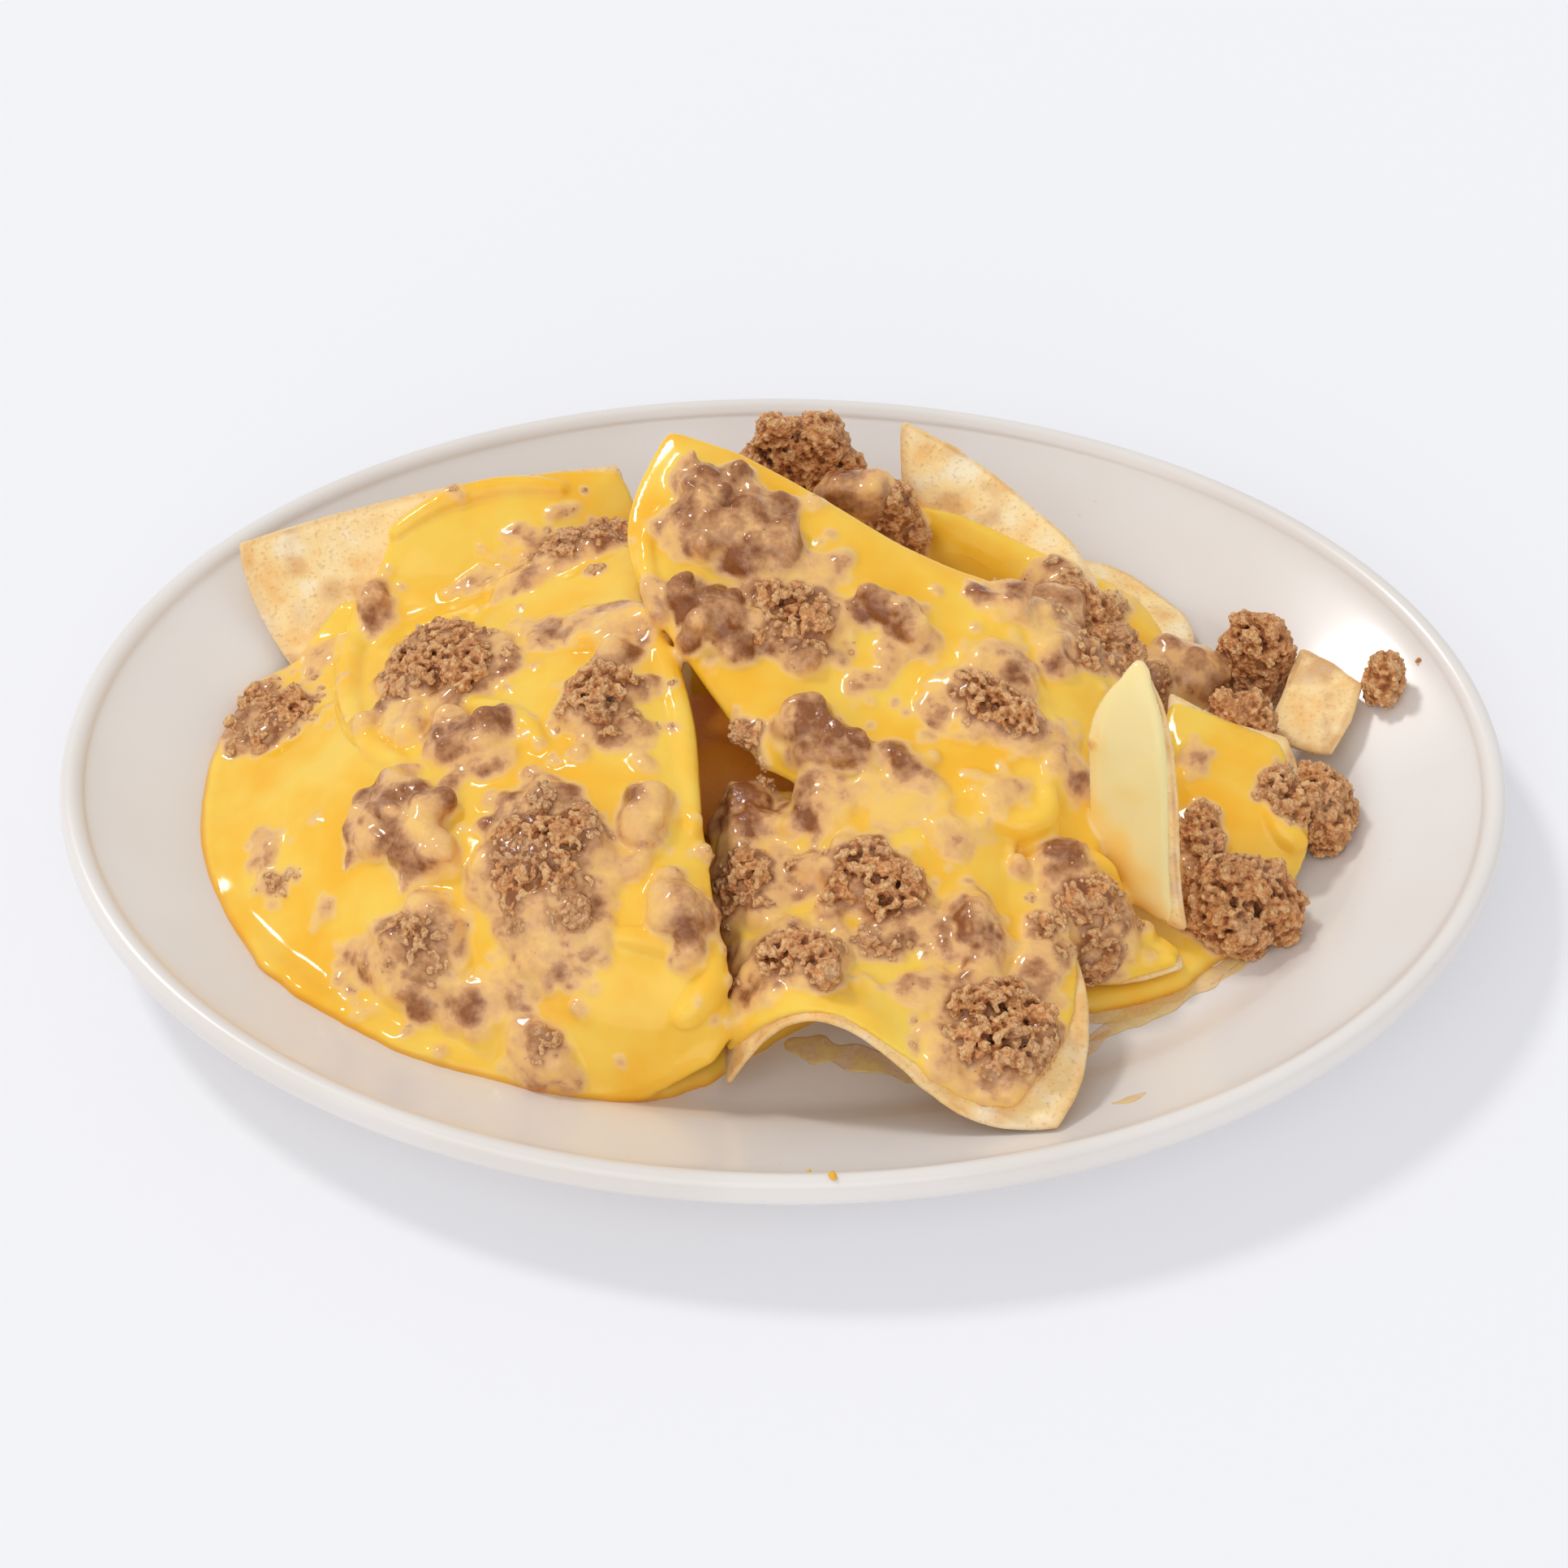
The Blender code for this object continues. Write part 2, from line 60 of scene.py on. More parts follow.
def add_camera():
    """A camera that looks at its target from a distance along a given azimuth and elevation."""
    elevation, azimuth = np.radians((CAMERA_ELEVATION, CAMERA_AZIMUTH))
    towards = Vector(
        (np.sin(azimuth) * np.cos(elevation), -np.cos(azimuth) * np.cos(elevation), np.sin(elevation))
    )
    data = bpy.data.cameras.new("Camera")
    data.lens = CAMERA_LENS
    data.sensor_width = 36.0
    camera = bpy.data.objects.new("Camera", data)
    camera.location = Vector(CAMERA_TARGET) + towards * CAMERA_DISTANCE
    camera.rotation_euler = towards.to_track_quat("Z", "Y").to_euler()
    bpy.context.scene.collection.objects.link(camera)
    bpy.context.scene.camera = camera


add_camera()

# ---------------------------------------------------------------- shapes of the chips and sauce sheets
CHIP_THICKNESS = 2.0
SAUCE_DEPTH = 3.0
FILM_DEPTH = 0.45 * SAUCE_DEPTH

# Middle surfaces as a few points that a smooth sheet runs through: rows run down the slope.
SHEETS = {
    "chip_back_left": (
        ((-122, 56, 31), (-95, 66, 33), (-65, 73, 36), (-37, 78, 37)),
        ((-116, 47, 21), (-91, 52, 23), (-63, 57, 27), (-36, 67, 31)),
        ((-109, 36, 13), (-85, 38, 14), (-58, 43, 17), (-33, 54, 22)),
    ),
    "chip_tall": (
        ((-25, 57, 62), (-1, 47, 58), (23, 34, 52), (49, 25, 46)),
        ((-31, 33, 55), (-3, 27, 52), (24, 16, 48), (51, 4, 43)),
        ((-19.5, 8.5, 47.5), (4, 2, 44), (30, -6, 41), (55, -14, 38)),
        ((-2.5, -13.5, 36.5), (17, -24, 36), (36, -29, 35), (55, -30, 33)),
    ),
    "chip_front": (
        ((-12, -12, 25), (4, -17, 28), (22, -24, 28), (42, -31, 27), (54, -40, 24)),
        ((-12, -30, 23), (4, -36, 27), (22, -42, 28), (42, -47, 27), (60, -55, 24)),
        ((-11, -47, 20), (3, -54, 28), (22, -60, 29), (42, -66, 26), (62, -70, 24)),
        ((-10, -64, 14), (2, -69, 30), (19, -75, 31), (40, -82, 24), (61, -86, 22)),
        ((-9, -81, 9), (1, -81, 29), (17, -85, 33), (38, -95, 21), (57, -98, 21)),
    ),
    "chip_standing": (
        ((71, -12.5, 62), (72.3, -12, 63), (73.5, -13, 62.5)),
        ((65, -16, 52.5), (72, -18, 55), (77.6, -20, 56)),
        ((64.8, -21, 38.5), (73, -24.5, 40), (80.2, -28, 42)),
        ((67.2, -27, 23), (75, -31, 24.5), (81.8, -34, 26)),
        ((77, -34, 15), (80.8, -36, 14), (84, -38, 13.3)),
    ),
    "chip_back_right": (
        ((24, 83, 47), (43, 73, 41), (62, 55, 36)),
        ((25, 75, 38), (43, 62, 35), (67, 44, 33)),
        ((26, 67, 27), (44, 53, 27), (70, 35, 29)),
    ),
    "chip_low_back": (
        ((65, 71, 17), (76, 68, 15), (88, 57, 13)),
        ((67, 60, 16), (77, 56, 14), (89, 50, 13)),
        ((69, 50, 15), (79, 46, 14), (88, 43, 13)),
    ),
    "chip_far_right": (
        ((112, 40, 20), (118, 36, 19), (124, 29, 20)),
        ((108, 29, 17), (114, 26, 17), (121, 21, 18)),
        ((104, 20, 14), (110, 16, 14), (117, 13, 15)),
    ),
    "chip_right": (
        ((82, 20, 26), (94, 13, 24), (107, 11, 22)),
        ((82, 5, 22), (95, -1, 20), (109, -3, 18)),
        ((84, -12, 17), (97, -15, 14), (110, -15, 13)),
    ),
    "chip_front_right": (
        ((58, -38, 14), (69, -39, 13.2), (80, -41, 12.6)),
        ((58, -45, 13), (70, -45, 12.6), (82, -44, 12.5)),
        ((62, -52, 12.5), (73, -51, 12.5), (83, -47, 12.5)),
    ),
    "chip_mid_right": (
        ((54, 20, 38), (64, 20, 35), (74, 16, 31)),
        ((57, -3, 33), (64, -4, 31), (71, -3, 28)),
        ((48, -28, 26), (52, -26, 26), (55, -22, 27)),
    ),
    "chip_under": (
        ((-36, 28, 13), (-16, 29, 13), (7, 27, 13)),
        ((-30, 14, 17), (-13, 14, 18), (9, 13, 18)),
        ((-26, 1, 22), (-11, 1, 22), (12, 0, 22)),
        ((-22, -12, 14), (-8, -13, 14), (14, -13, 15)),
    ),
    "chip_under_back": (
        ((-22, 46, 13), (10, 45, 13), (41, 39, 13)),
        ((-20, 36, 28), (10, 34, 29), (42, 27, 27)),
        ((-18, 25, 43), (10, 22, 43), (42, 13, 38)),
    ),
    # The broad left sheet, from the chip behind it down to the edge of the pool.
    "cheese_left": (
        ((-114, 32, 12), (-106, 36, 14), (-87, 40, 19), (-63, 46, 27), (-45, 50, 35), (-30, 44, 42)),
        ((-119, 20, 11.5), (-108, 20, 14), (-88, 21, 23), (-66, 23, 32), (-47, 24, 39), (-31, 27, 44)),
        ((-122, 6, 10.8), (-114, 5, 13), (-92, 2, 24), (-69, 0, 35), (-45, 0, 42), (-25, 7, 44)),
        ((-122, -12, 10.8), (-113, -12, 13), (-91, -19, 26), (-67, -25, 36), (-41, -26, 42), (-19, -22, 43)),
        ((-116, -34, 10.2), (-106, -36, 13), (-84, -43, 24), (-62, -49, 33), (-38, -50, 39),
         (-14.5, -48, 39)),
        ((-98, -61, 9.5), (-89, -57, 13), (-69, -63, 18), (-51, -68, 24), (-31, -71, 29), (-11, -69, 31)),
        ((-80, -72, 9), (-73, -70, 11), (-57, -75, 13), (-42, -78, 14.5), (-27, -78, 18), (-9, -76, 24)),
        ((-68, -77, 8.6), (-61, -79, 8.8), (-48, -81.5, 8.5), (-37, -83, 8.8), (-25, -82, 11),
         (-12, -80, 20)),
    ),
    # Sauce that ran from one chip to the next.
    "flow_left": (
        ((-99, 47, 21), (-80, 49, 24), (-60, 51, 27), (-42, 57, 31), (-32, 61, 35)),
        ((-105, 36, 16), (-86, 38, 20), (-62, 42, 28), (-44, 48, 34), (-30, 49, 40)),
        ((-109, 22, 15), (-88, 24, 23), (-66, 27, 32), (-47, 29, 38), (-30, 31, 43)),
    ),
    "flow_front": (
        ((4, -10, 41), (14, -16, 40), (30, -21, 38), (46, -23, 35)),
        ((5, -19, 37.5), (15, -26, 37), (31, -32, 36), (46, -33, 33)),
        ((3, -29, 32), (15, -36, 33.5), (31, -42, 33), (44, -44, 30)),
        ((0, -39, 28), (14, -46, 30.5), (30, -52, 30.5), (43, -54, 28)),
    ),
    "flow_low_right": (
        ((82, -2, 24), (95, -6, 21.5), (109, -8, 18)),
        ((81, -14, 18), (95, -18, 15.5), (108, -18, 13)),
        ((78, -27, 12.5), (90, -30, 10.5), (101, -27, 9.5)),
    ),
    "flow_foot": (
        ((49, -24, 33), (56, -27, 31), (63, -29, 27), (67, -31, 24)),
        ((50, -34, 30), (57, -36, 28.5), (64, -37, 26), (71, -37, 20)),
        ((53, -43, 24), (60, -45, 22.5), (67, -44, 20.5), (75, -41, 16.5)),
        ((55, -48, 17), (62, -51, 14.5), (69, -50, 14), (78, -44, 13.5)),
    ),
    "flow_right": (
        ((38, 32, 47), (52, 26, 43), (64, 20, 38), (76, 14, 31)),
        ((44, 12, 44), (54, 6, 41), (64, -1, 37), (73, -7, 31)),
        ((49, -9, 40), (56, -13, 37), (63, -18, 32), (68, -22, 28)),
        ((51, -26, 33), (56, -28, 30), (60, -30, 27), (64, -32, 24)),
    ),
}
# The left chip lies under this share of the left sheet: first and last row and column.
LEFT_CHIP = (0.19, 0.80, 0.30, 0.985)


def spline_weights(count, at):
    """Rows of weights that turn `count` evenly spaced values into a natural cubic spline at the shares
    `at`."""
    place = np.asarray(at, float) * (count - 1)
    left = np.eye(count)
    right = np.zeros((count, count))
    for i in range(1, count - 1):
        left[i, i - 1 : i + 2] = (1, 4, 1)
        right[i, i - 1 : i + 2] = (6, -12, 6)
    curvature = np.linalg.solve(left, right)
    i = np.clip(np.floor(place).astype(int), 0, count - 2)
    t = place - i
    flat_i, flat_t = i.ravel(), t.ravel()
    rows = np.arange(flat_t.size)
    weights = np.zeros((flat_t.size, count))
    weights[rows, flat_i] += 1 - flat_t
    weights[rows, flat_i + 1] += flat_t
    inside = np.clip(flat_t, 0, 1)
    weights += (((1 - inside) ** 3 - (1 - inside)) / 6)[:, None] * curvature[flat_i]
    weights += ((inside**3 - inside) / 6)[:, None] * curvature[flat_i + 1]
    return weights.reshape(*place.shape, count)


def on_sheet(net, u, v):
    """Points of the smooth sheet through `net` at row shares u and column shares v, arrays of one shape."""
    net = np.asarray(net, float)
    down = spline_weights(net.shape[0], u)
    across = spline_weights(net.shape[1], v)
    return np.einsum("...i,ijk,...j->...k", down, net, across, optimize=True)


def sheet_frame(net, u, v):
    """Points, unit row direction, unit column direction and upward normal of a sheet."""
    step = 2e-3
    down = on_sheet(net, u + step, v) - on_sheet(net, u - step, v)
    across = on_sheet(net, u, v + step) - on_sheet(net, u, v - step)
    normal = np.cross(across, -down)
    normal /= np.linalg.norm(normal, axis=-1, keepdims=True)
    normal *= np.where(normal[..., 2:].mean() < 0, -1.0, 1.0)
    down /= np.linalg.norm(down, axis=-1, keepdims=True)
    across /= np.linalg.norm(across, axis=-1, keepdims=True)
    return on_sheet(net, u, v), down, across, normal


# ---------------------------------------------------------------- noise, worked out on whole arrays
def hashed(cell, seed):
    """An even random number from 0 to 1 for each whole-number cell."""
    c = cell.astype(np.int64)
    h = (c[..., 0] * 73856093) ^ (c[..., 1] * 19349663) ^ (c[..., 2] * 83492791) ^ (seed * 40503 + 977)
    h = (h & 0xFFFFFFFF).astype(np.uint64)
    h = ((h ^ (h >> np.uint64(15))) * np.uint64(2246822519)) & np.uint64(0xFFFFFFFF)
    h = ((h ^ (h >> np.uint64(13))) * np.uint64(3266489917)) & np.uint64(0xFFFFFFFF)
    h = h ^ (h >> np.uint64(16))
    return (h / 4294967296.0).astype(np.float32)


def waves(points, size, seed):
    """Smooth noise from -1 to 1: random values on a repeating lattice of that size, eased between its
    corners."""
    table = np.random.default_rng(seed).random((32, 32, 32), np.float32) * 2 - 1
    place = np.asarray(points, np.float32) / np.float32(size) + np.float32(320)
    cell = np.floor(place).astype(np.int32)
    t = place - cell
    t = t * t * (3 - 2 * t)
    x, y, z = (t[..., k] for k in range(3))
    i, j, k = (cell[..., axis] & 31 for axis in range(3))
    i2, j2, k2 = (i + 1) & 31, (j + 1) & 31, (k + 1) & 31
    near = (table[i, j, k] * (1 - x) + table[i2, j, k] * x) * (1 - y)
    near += (table[i, j2, k] * (1 - x) + table[i2, j2, k] * x) * y
    far = (table[i, j, k2] * (1 - x) + table[i2, j, k2] * x) * (1 - y)
    far += (table[i, j2, k2] * (1 - x) + table[i2, j2, k2] * x) * y
    return near * (1 - z) + far * z


def rough(points, size, seed, octaves=3):
    """Waves added at halving sizes and strengths."""
    total = 0.0
    for k in range(octaves):
        total = total + waves(points, size / 2**k, seed + 17 * k) / 2**k
    return total


def nearest_seed(points, size, seed):
    """Distance to the nearest of one random seed a lattice cell, in cells, and that seed's random number."""
    place = points / size + 100.0
    home = np.floor(place)
    best = np.full(points.shape[:-1], 9.0, np.float32)
    tag = np.zeros(points.shape[:-1], np.float32)
    for offset in np.ndindex(3, 3, 3):
        cell = home + np.array(offset) - 1
        spot = np.stack([hashed(cell, seed + k) for k in range(3)], -1)
        gap = np.linalg.norm(place - cell - 0.15 - 0.7 * spot, axis=-1)
        nearer = gap < best
        tag = np.where(nearer, hashed(cell, seed + 3), tag)
        best = np.where(nearer, gap, best)
    return best, tag


def ease(value, low, high):
    """0 below low, 1 above high, and a smooth ramp between."""
    t = np.clip((value - low) / (high - low), 0, 1)
    return t * t * (3 - 2 * t)


# ---------------------------------------------------------------- meshes
def add_piece(name, points, faces, finish, attributes=None):
    """A smooth-shaded piece from points in millimetres and whole arrays of faces, riding the part's one
    body."""
    mesh = bpy.data.meshes.new(name)
    points = np.asarray(points, np.float32).reshape(-1, 3) * MM
    mesh.vertices.add(len(points))
    mesh.vertices.foreach_set("co", points.ravel())
    loops = np.concatenate([block.ravel() for block in faces]).astype(np.int32)
    sizes = np.concatenate([np.full(len(block), block.shape[1]) for block in faces])
    mesh.loops.add(len(loops))
    mesh.loops.foreach_set("vertex_index", loops)
    mesh.polygons.add(len(sizes))
    starts = np.concatenate([[0], np.cumsum(sizes)[:-1]]).astype(np.int32)
    mesh.polygons.foreach_set("loop_start", starts)
    mesh.update(calc_edges=True)
    mesh.validate()
    mesh.shade_smooth()
    for label, values in (attributes or {}).items():
        layer = mesh.attributes.new(label, "FLOAT", "POINT")
        layer.data.foreach_set("value", np.asarray(values, np.float32).ravel())
    mesh.materials.append(finish)
    piece = bpy.data.objects.new(name, mesh)
    bpy.context.scene.collection.objects.link(piece)
    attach(piece, "root")
    return piece


def grid_quads(index, flip=False):
    """The quads between neighbours of a two-way table of point numbers."""
    quads = np.stack([index[:-1, :-1], index[1:, :-1], index[1:, 1:], index[:-1, 1:]], -1).reshape(-1, 4)
    return quads[:, ::-1] if flip else quads


def closed_rings(rings, first, last):
    """Points and faces of a body made of rings, one table row each, with a fan from each end ring to a
    point."""
    rows, columns = rings.shape[:2]
    index = np.arange(rows * columns).reshape(rows, columns)
    index = np.concatenate([index, index[:, :1]], 1)
    points = np.concatenate([rings.reshape(-1, 3), [first], [last]])
    first_point = np.full(columns, rows * columns)
    fans = [
        np.stack([first_point, index[0, :-1], index[0, 1:]], -1),
        np.stack([first_point + 1, index[-1, 1:], index[-1, :-1]], -1),
    ]
    return points, [grid_quads(index), *fans]


def border_of(rows, columns):
    """The (row, column) of each border point of a grid, once round."""
    across, down = np.arange(columns - 1), np.arange(rows - 1)
    r = np.concatenate([0 * across, down, 0 * across + rows - 1, rows - 1 - down])
    c = np.concatenate([across, 0 * down + columns - 1, columns - 1 - across, 0 * down])
    return r, c


def rounded_slab(upper, lower, lip_steps=4, coarse=4):
    """A closed slab: a fine upper grid, a coarse lower grid, and a lip that rounds from one to the other.

    The lip's points run on a half turn about the middle of each border edge, from the upper border outwards
    and under to the lower one. Grid sizes are whole multiples of `coarse`, plus one. Returns points, faces
    and the number of points that belong to the upper grid.
    """
    rows, columns = upper.shape[:2]
    r, c = border_of(rows, columns)
    top, bottom = upper[r, c], lower[r, c]
    middle = (top + bottom) / 2
    along = np.roll(middle, -1, 0) - np.roll(middle, 1, 0)
    up = (top - bottom) / 2
    out = np.cross(along, up)
    out /= np.maximum(np.linalg.norm(out, axis=1, keepdims=True), 1e-9)
    centre = upper.reshape(-1, 3).mean(0)
    if ((middle - centre) * out).sum() < 0:
        out = -out
    size = np.linalg.norm(up, axis=1, keepdims=True)
    turns = np.linspace(0, np.pi, lip_steps + 2)[1:-1]
    lips = [middle + up * np.cos(t) + out * size * np.sin(t) for t in turns]
    points = np.concatenate([upper.reshape(-1, 3), *lips, bottom, lower[::coarse, ::coarse].reshape(-1, 3)])
    count = len(r)
    index = np.arange(rows * columns).reshape(rows, columns)
    rings = [index[r, c]]
    for k in range(lip_steps + 1):
        rings.append(rows * columns + k * count + np.arange(count))
    start = rows * columns + (lip_steps + 1) * count
    small_rows, small_columns = lower[::coarse, ::coarse].shape[:2]
    small = start + np.arange(small_rows * small_columns).reshape(small_rows, small_columns)
    first, second = np.array(rings[:-1]), np.array(rings[1:])
    a, b = np.roll(first, -1, 1), np.roll(second, -1, 1)
    skirt = np.stack([first, a, b, second], -1).reshape(-1, 4)
    edge = small[r[::coarse] // coarse, c[::coarse] // coarse]
    ahead = np.roll(edge, -1)
    fine = rings[-1].reshape(-1, coarse)
    last = np.roll(fine[:, 0], -1)
    half = coarse // 2
    fans = []
    for k in range(coarse):
        here = fine[:, k]
        there = fine[:, k + 1] if k + 1 < coarse else last
        fans.append(np.stack([here, edge if k < half else ahead, there], -1))
    fans.append(np.stack([fine[:, half], edge, ahead], -1))
    fans = np.concatenate(fans)[:, ::-1]
    upper_quads = grid_quads(index)
    lower_quads = grid_quads(small, flip=True)
    a, b, d = (upper.reshape(-1, 3)[upper_quads[:, k]] for k in (0, 1, 2))
    facing = (np.cross(b - a, d - b) * (upper - lower)[:-1, :-1].reshape(-1, 3)).sum()
    blocks = [upper_quads, skirt, lower_quads, fans]
    if facing < 0:
        blocks = [block[:, ::-1] for block in blocks]
    return points, blocks


def squared_circle(a, b, amount):
    """Grid shares from 0 to 1 with the corners drawn in: a square leaning towards a disc."""
    x, y = 2 * a - 1, 2 * b - 1
    round_x = x * np.sqrt(1 - y * y / 2)
    round_y = y * np.sqrt(1 - x * x / 2)
    return (1 + x + (round_x - x) * amount) / 2, (1 + y + (round_y - y) * amount) / 2


def three_point(start, middle, end, t):
    """The parabola through three values at t 0, a half and 1."""
    return start * (1 - t) * (1 - 2 * t) + middle * 4 * t * (1 - t) + end * t * (2 * t - 1)


def node_points(name):
    """The corners of a node's solid, in millimetres."""
    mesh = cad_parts[name].data
    found = np.empty(3 * len(mesh.vertices))
    mesh.vertices.foreach_get("co", found)
    return found.reshape(-1, 3) / MM


def node_triangles(name):
    """The corner numbers of a node's triangles."""
    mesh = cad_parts[name].data
    mesh.calc_loop_triangles()
    found = np.empty(3 * len(mesh.loop_triangles), np.int32)
    mesh.loop_triangles.foreach_get("vertices", found)
    return found.reshape(-1, 3)


# ---------------------------------------------------------------- finishes
def mottle_group():
    """Soft patches of two sizes, and small round grains that are highest at their middles."""
    tree = bpy.data.node_groups.new("Mottle", "ShaderNodeTree")
    for label, value in (("Size", 100.0), ("Fine Size", 700.0)):
        socket = tree.interface.new_socket(label, in_out="INPUT", socket_type="NodeSocketFloat")
        socket.default_value = value
    for label in ("Patches", "Fine", "Grains"):
        tree.interface.new_socket(label, in_out="OUTPUT", socket_type="NodeSocketFloat")
    entry = tree.nodes.new("NodeGroupInput")
    end = tree.nodes.new("NodeGroupOutput")
    place = tree.nodes.new("ShaderNodeTexCoord")
    for socket, size, detail in (("Patches", "Size", 3.0), ("Fine", "Fine Size", 5.0)):
        noise = tree.nodes.new("ShaderNodeTexNoise")
        noise.inputs["Detail"].default_value = detail
        tree.links.new(place.outputs["Object"], noise.inputs["Vector"])
        tree.links.new(entry.outputs[size], noise.inputs["Scale"])
        tree.links.new(noise.outputs["Fac"], end.inputs[socket])
    cells = tree.nodes.new("ShaderNodeTexVoronoi")
    tree.links.new(place.outputs["Object"], cells.inputs["Vector"])
    tree.links.new(entry.outputs["Fine Size"], cells.inputs["Scale"])
    turned = tree.nodes.new("ShaderNodeMath")
    turned.operation = "SUBTRACT"
    turned.inputs[0].default_value = 1.0
    tree.links.new(cells.outputs["Distance"], turned.inputs[1])
    tree.links.new(turned.outputs["Value"], end.inputs["Grains"])
    return tree


MOTTLE = mottle_group()


class Finish:
    """A material, with short ways to add nodes to it. Each gives back the socket that holds its result."""

    def __init__(self, name):
        self.material = bpy.data.materials.new(name)
        self.material.use_nodes = True
        self.nodes = self.material.node_tree.nodes
        self.links = self.material.node_tree.links
        self.shader = self.nodes["Principled BSDF"]

    def constants(self, **values):
        """Values on the shader's own sockets. An underscore in a label stands for a space."""
        for label, value in values.items():
            self.shader.inputs[label.replace("_", " ")].default_value = value

    def feed(self, label, source):
        """Links a result to one of the shader's sockets."""
        self.links.new(source, self.shader.inputs[label])

    def mottle(self, size, fine):
        """The mottle group's patches, fine noise and grains, at two scales to the metre."""
        placed = self.nodes.new("ShaderNodeGroup")
        placed.node_tree = MOTTLE
        placed.inputs["Size"].default_value = size
        placed.inputs["Fine Size"].default_value = fine
        return [placed.outputs[label] for label in ("Patches", "Fine", "Grains")]

    def attribute(self, label):
        """A value that the mesh carries at each point."""
        read = self.nodes.new("ShaderNodeAttribute")
        read.attribute_name = label
        return read.outputs["Fac"]

    def ramp(self, source, *stops):
        """A colour ramp: stops are (place, linear colour)."""
        made = self.nodes.new("ShaderNodeValToRGB")
        made.color_ramp.interpolation = "EASE"
        for k, (place, shade) in enumerate(stops):
            stop = made.color_ramp.elements[k] if k < 2 else made.color_ramp.elements.new(place)
            stop.position = place
            stop.color = (*shade, 1.0)
        self.links.new(source, made.inputs["Fac"])
        return made.outputs["Color"]

    def mixed(self, share, first, second):
        """The first result turned into a second linear colour by a share."""
        made = self.nodes.new("ShaderNodeMix")
        made.data_type = "RGBA"
        self.links.new(share, made.inputs[0])
        self.links.new(first, made.inputs[6])
        made.inputs[7].default_value = (*second, 1.0)
        return made.outputs[2]

    def between(self, source, low, high, to_low=0.0, to_high=1.0):
        """A value from low to high spread over another range, clamped."""
        made = self.nodes.new("ShaderNodeMapRange")
        self.links.new(source, made.inputs["Value"])
        for label, value in (("From Min", low), ("From Max", high), ("To Min", to_low), ("To Max", to_high)):
            made.inputs[label].default_value = value
        return made.outputs["Result"]

    def combined(self, operation, first, second):
        """The sum or product of two results."""
        made = self.nodes.new("ShaderNodeMath")
        made.operation = operation
        self.links.new(first, made.inputs[0])
        self.links.new(second, made.inputs[1])
        return made.outputs["Value"]

    def raised(self, height, distance, strength=1.0):
        """Relief finer than the mesh, that many metres high."""
        made = self.nodes.new("ShaderNodeBump")
        made.inputs["Distance"].default_value = distance
        made.inputs["Strength"].default_value = strength
        self.links.new(height, made.inputs["Height"])
        self.feed("Normal", made.outputs["Normal"])


def colour(*srgb):
    """A linear colour from the 0 to 255 values a screen shows."""
    c = np.array(srgb) / 255.0
    return tuple(np.where(c <= 0.04045, c / 12.92, ((c + 0.055) / 1.055) ** 2.4).tolist())


def cheese_finish():
    """Wet yellow sauce; where it thins over beef it turns beige, then brown, with dark pits."""
    finish = Finish("Cheese sauce")
    patches, fine, grains = finish.mottle(60.0, 900.0)
    yellow = finish.ramp(patches, (0.3, colour(254, 190, 46)), (0.7, colour(255, 212, 88)))
    tint = finish.mixed(finish.attribute("pale"), yellow, colour(255, 229, 166))
    meat = finish.combined("ADD", finish.attribute("meat"), finish.between(fine, 0.35, 0.65, -0.05, 0.05))
    for low, high, shade in (
        (0.04, 0.34, colour(246, 202, 122)),
        (0.34, 0.70, colour(224, 172, 120)),
        (0.62, 0.94, colour(146, 88, 48)),
    ):
        tint = finish.mixed(finish.between(meat, low, high), tint, shade)
    oil = finish.between(finish.attribute("oil"), 0.0, 1.0, 0.0, 0.8)
    tint = finish.mixed(oil, tint, colour(226, 132, 30))
    pit = finish.combined("MULTIPLY", finish.between(fine, 0.71, 0.75), finish.between(meat, 0.45, 0.7))
    tint = finish.mixed(finish.between(pit, 0.0, 1.0, 0.0, 0.8), tint, colour(74, 40, 22))
    finish.feed("Base Color", tint)
    finish.constants(Roughness=0.12, IOR=1.45, Subsurface_Weight=0.35, Subsurface_Scale=0.003)
    finish.constants(Subsurface_Radius=(1.0, 0.55, 0.18))
    finish.raised(finish.combined("MULTIPLY", grains, finish.between(meat, 0.90, 1.0)), 0.0003, 0.5)
    return finish.material


def beef_finish():
    """Crumbled cooked beef, brown, with painted shade: lighter on its exposed tips and nearly black in its
    crevices; a film of sauce here and there."""
    finish = Finish("Ground beef")
    patches, fine, grains = finish.mottle(230.0, 1150.0)
    # Painted shade: the ramp runs from pale on exposed tips to nearly black where the beef is most enclosed.
    tint = finish.ramp(
        finish.attribute("painted_crevice_shade"),
        (0.30, colour(252, 200, 140)),
        (0.46, colour(232, 162, 100)),
        (0.60, colour(166, 98, 50)),
        (0.75, colour(54, 24, 9)),
    )
    tint = finish.mixed(finish.between(patches, 0.35, 0.7, 0.0, 0.35), tint, colour(186, 118, 68))
    film = finish.between(finish.attribute("film"), 0.0, 1.0, 0.0, 0.75)
    tint = finish.mixed(film, tint, colour(222, 178, 134))
    tint = finish.mixed(finish.between(fine, 0.36, 0.48, 0.42, 0.0), tint, colour(104, 56, 28))
    finish.feed("Base Color", tint)
    finish.feed("Roughness", finish.between(fine, 0.3, 0.7, 0.34, 0.7))
    finish.constants(Subsurface_Weight=0.08, Subsurface_Scale=0.001, Subsurface_Radius=(1.0, 0.4, 0.2))
    finish.raised(grains, 0.0009)
    return finish.material


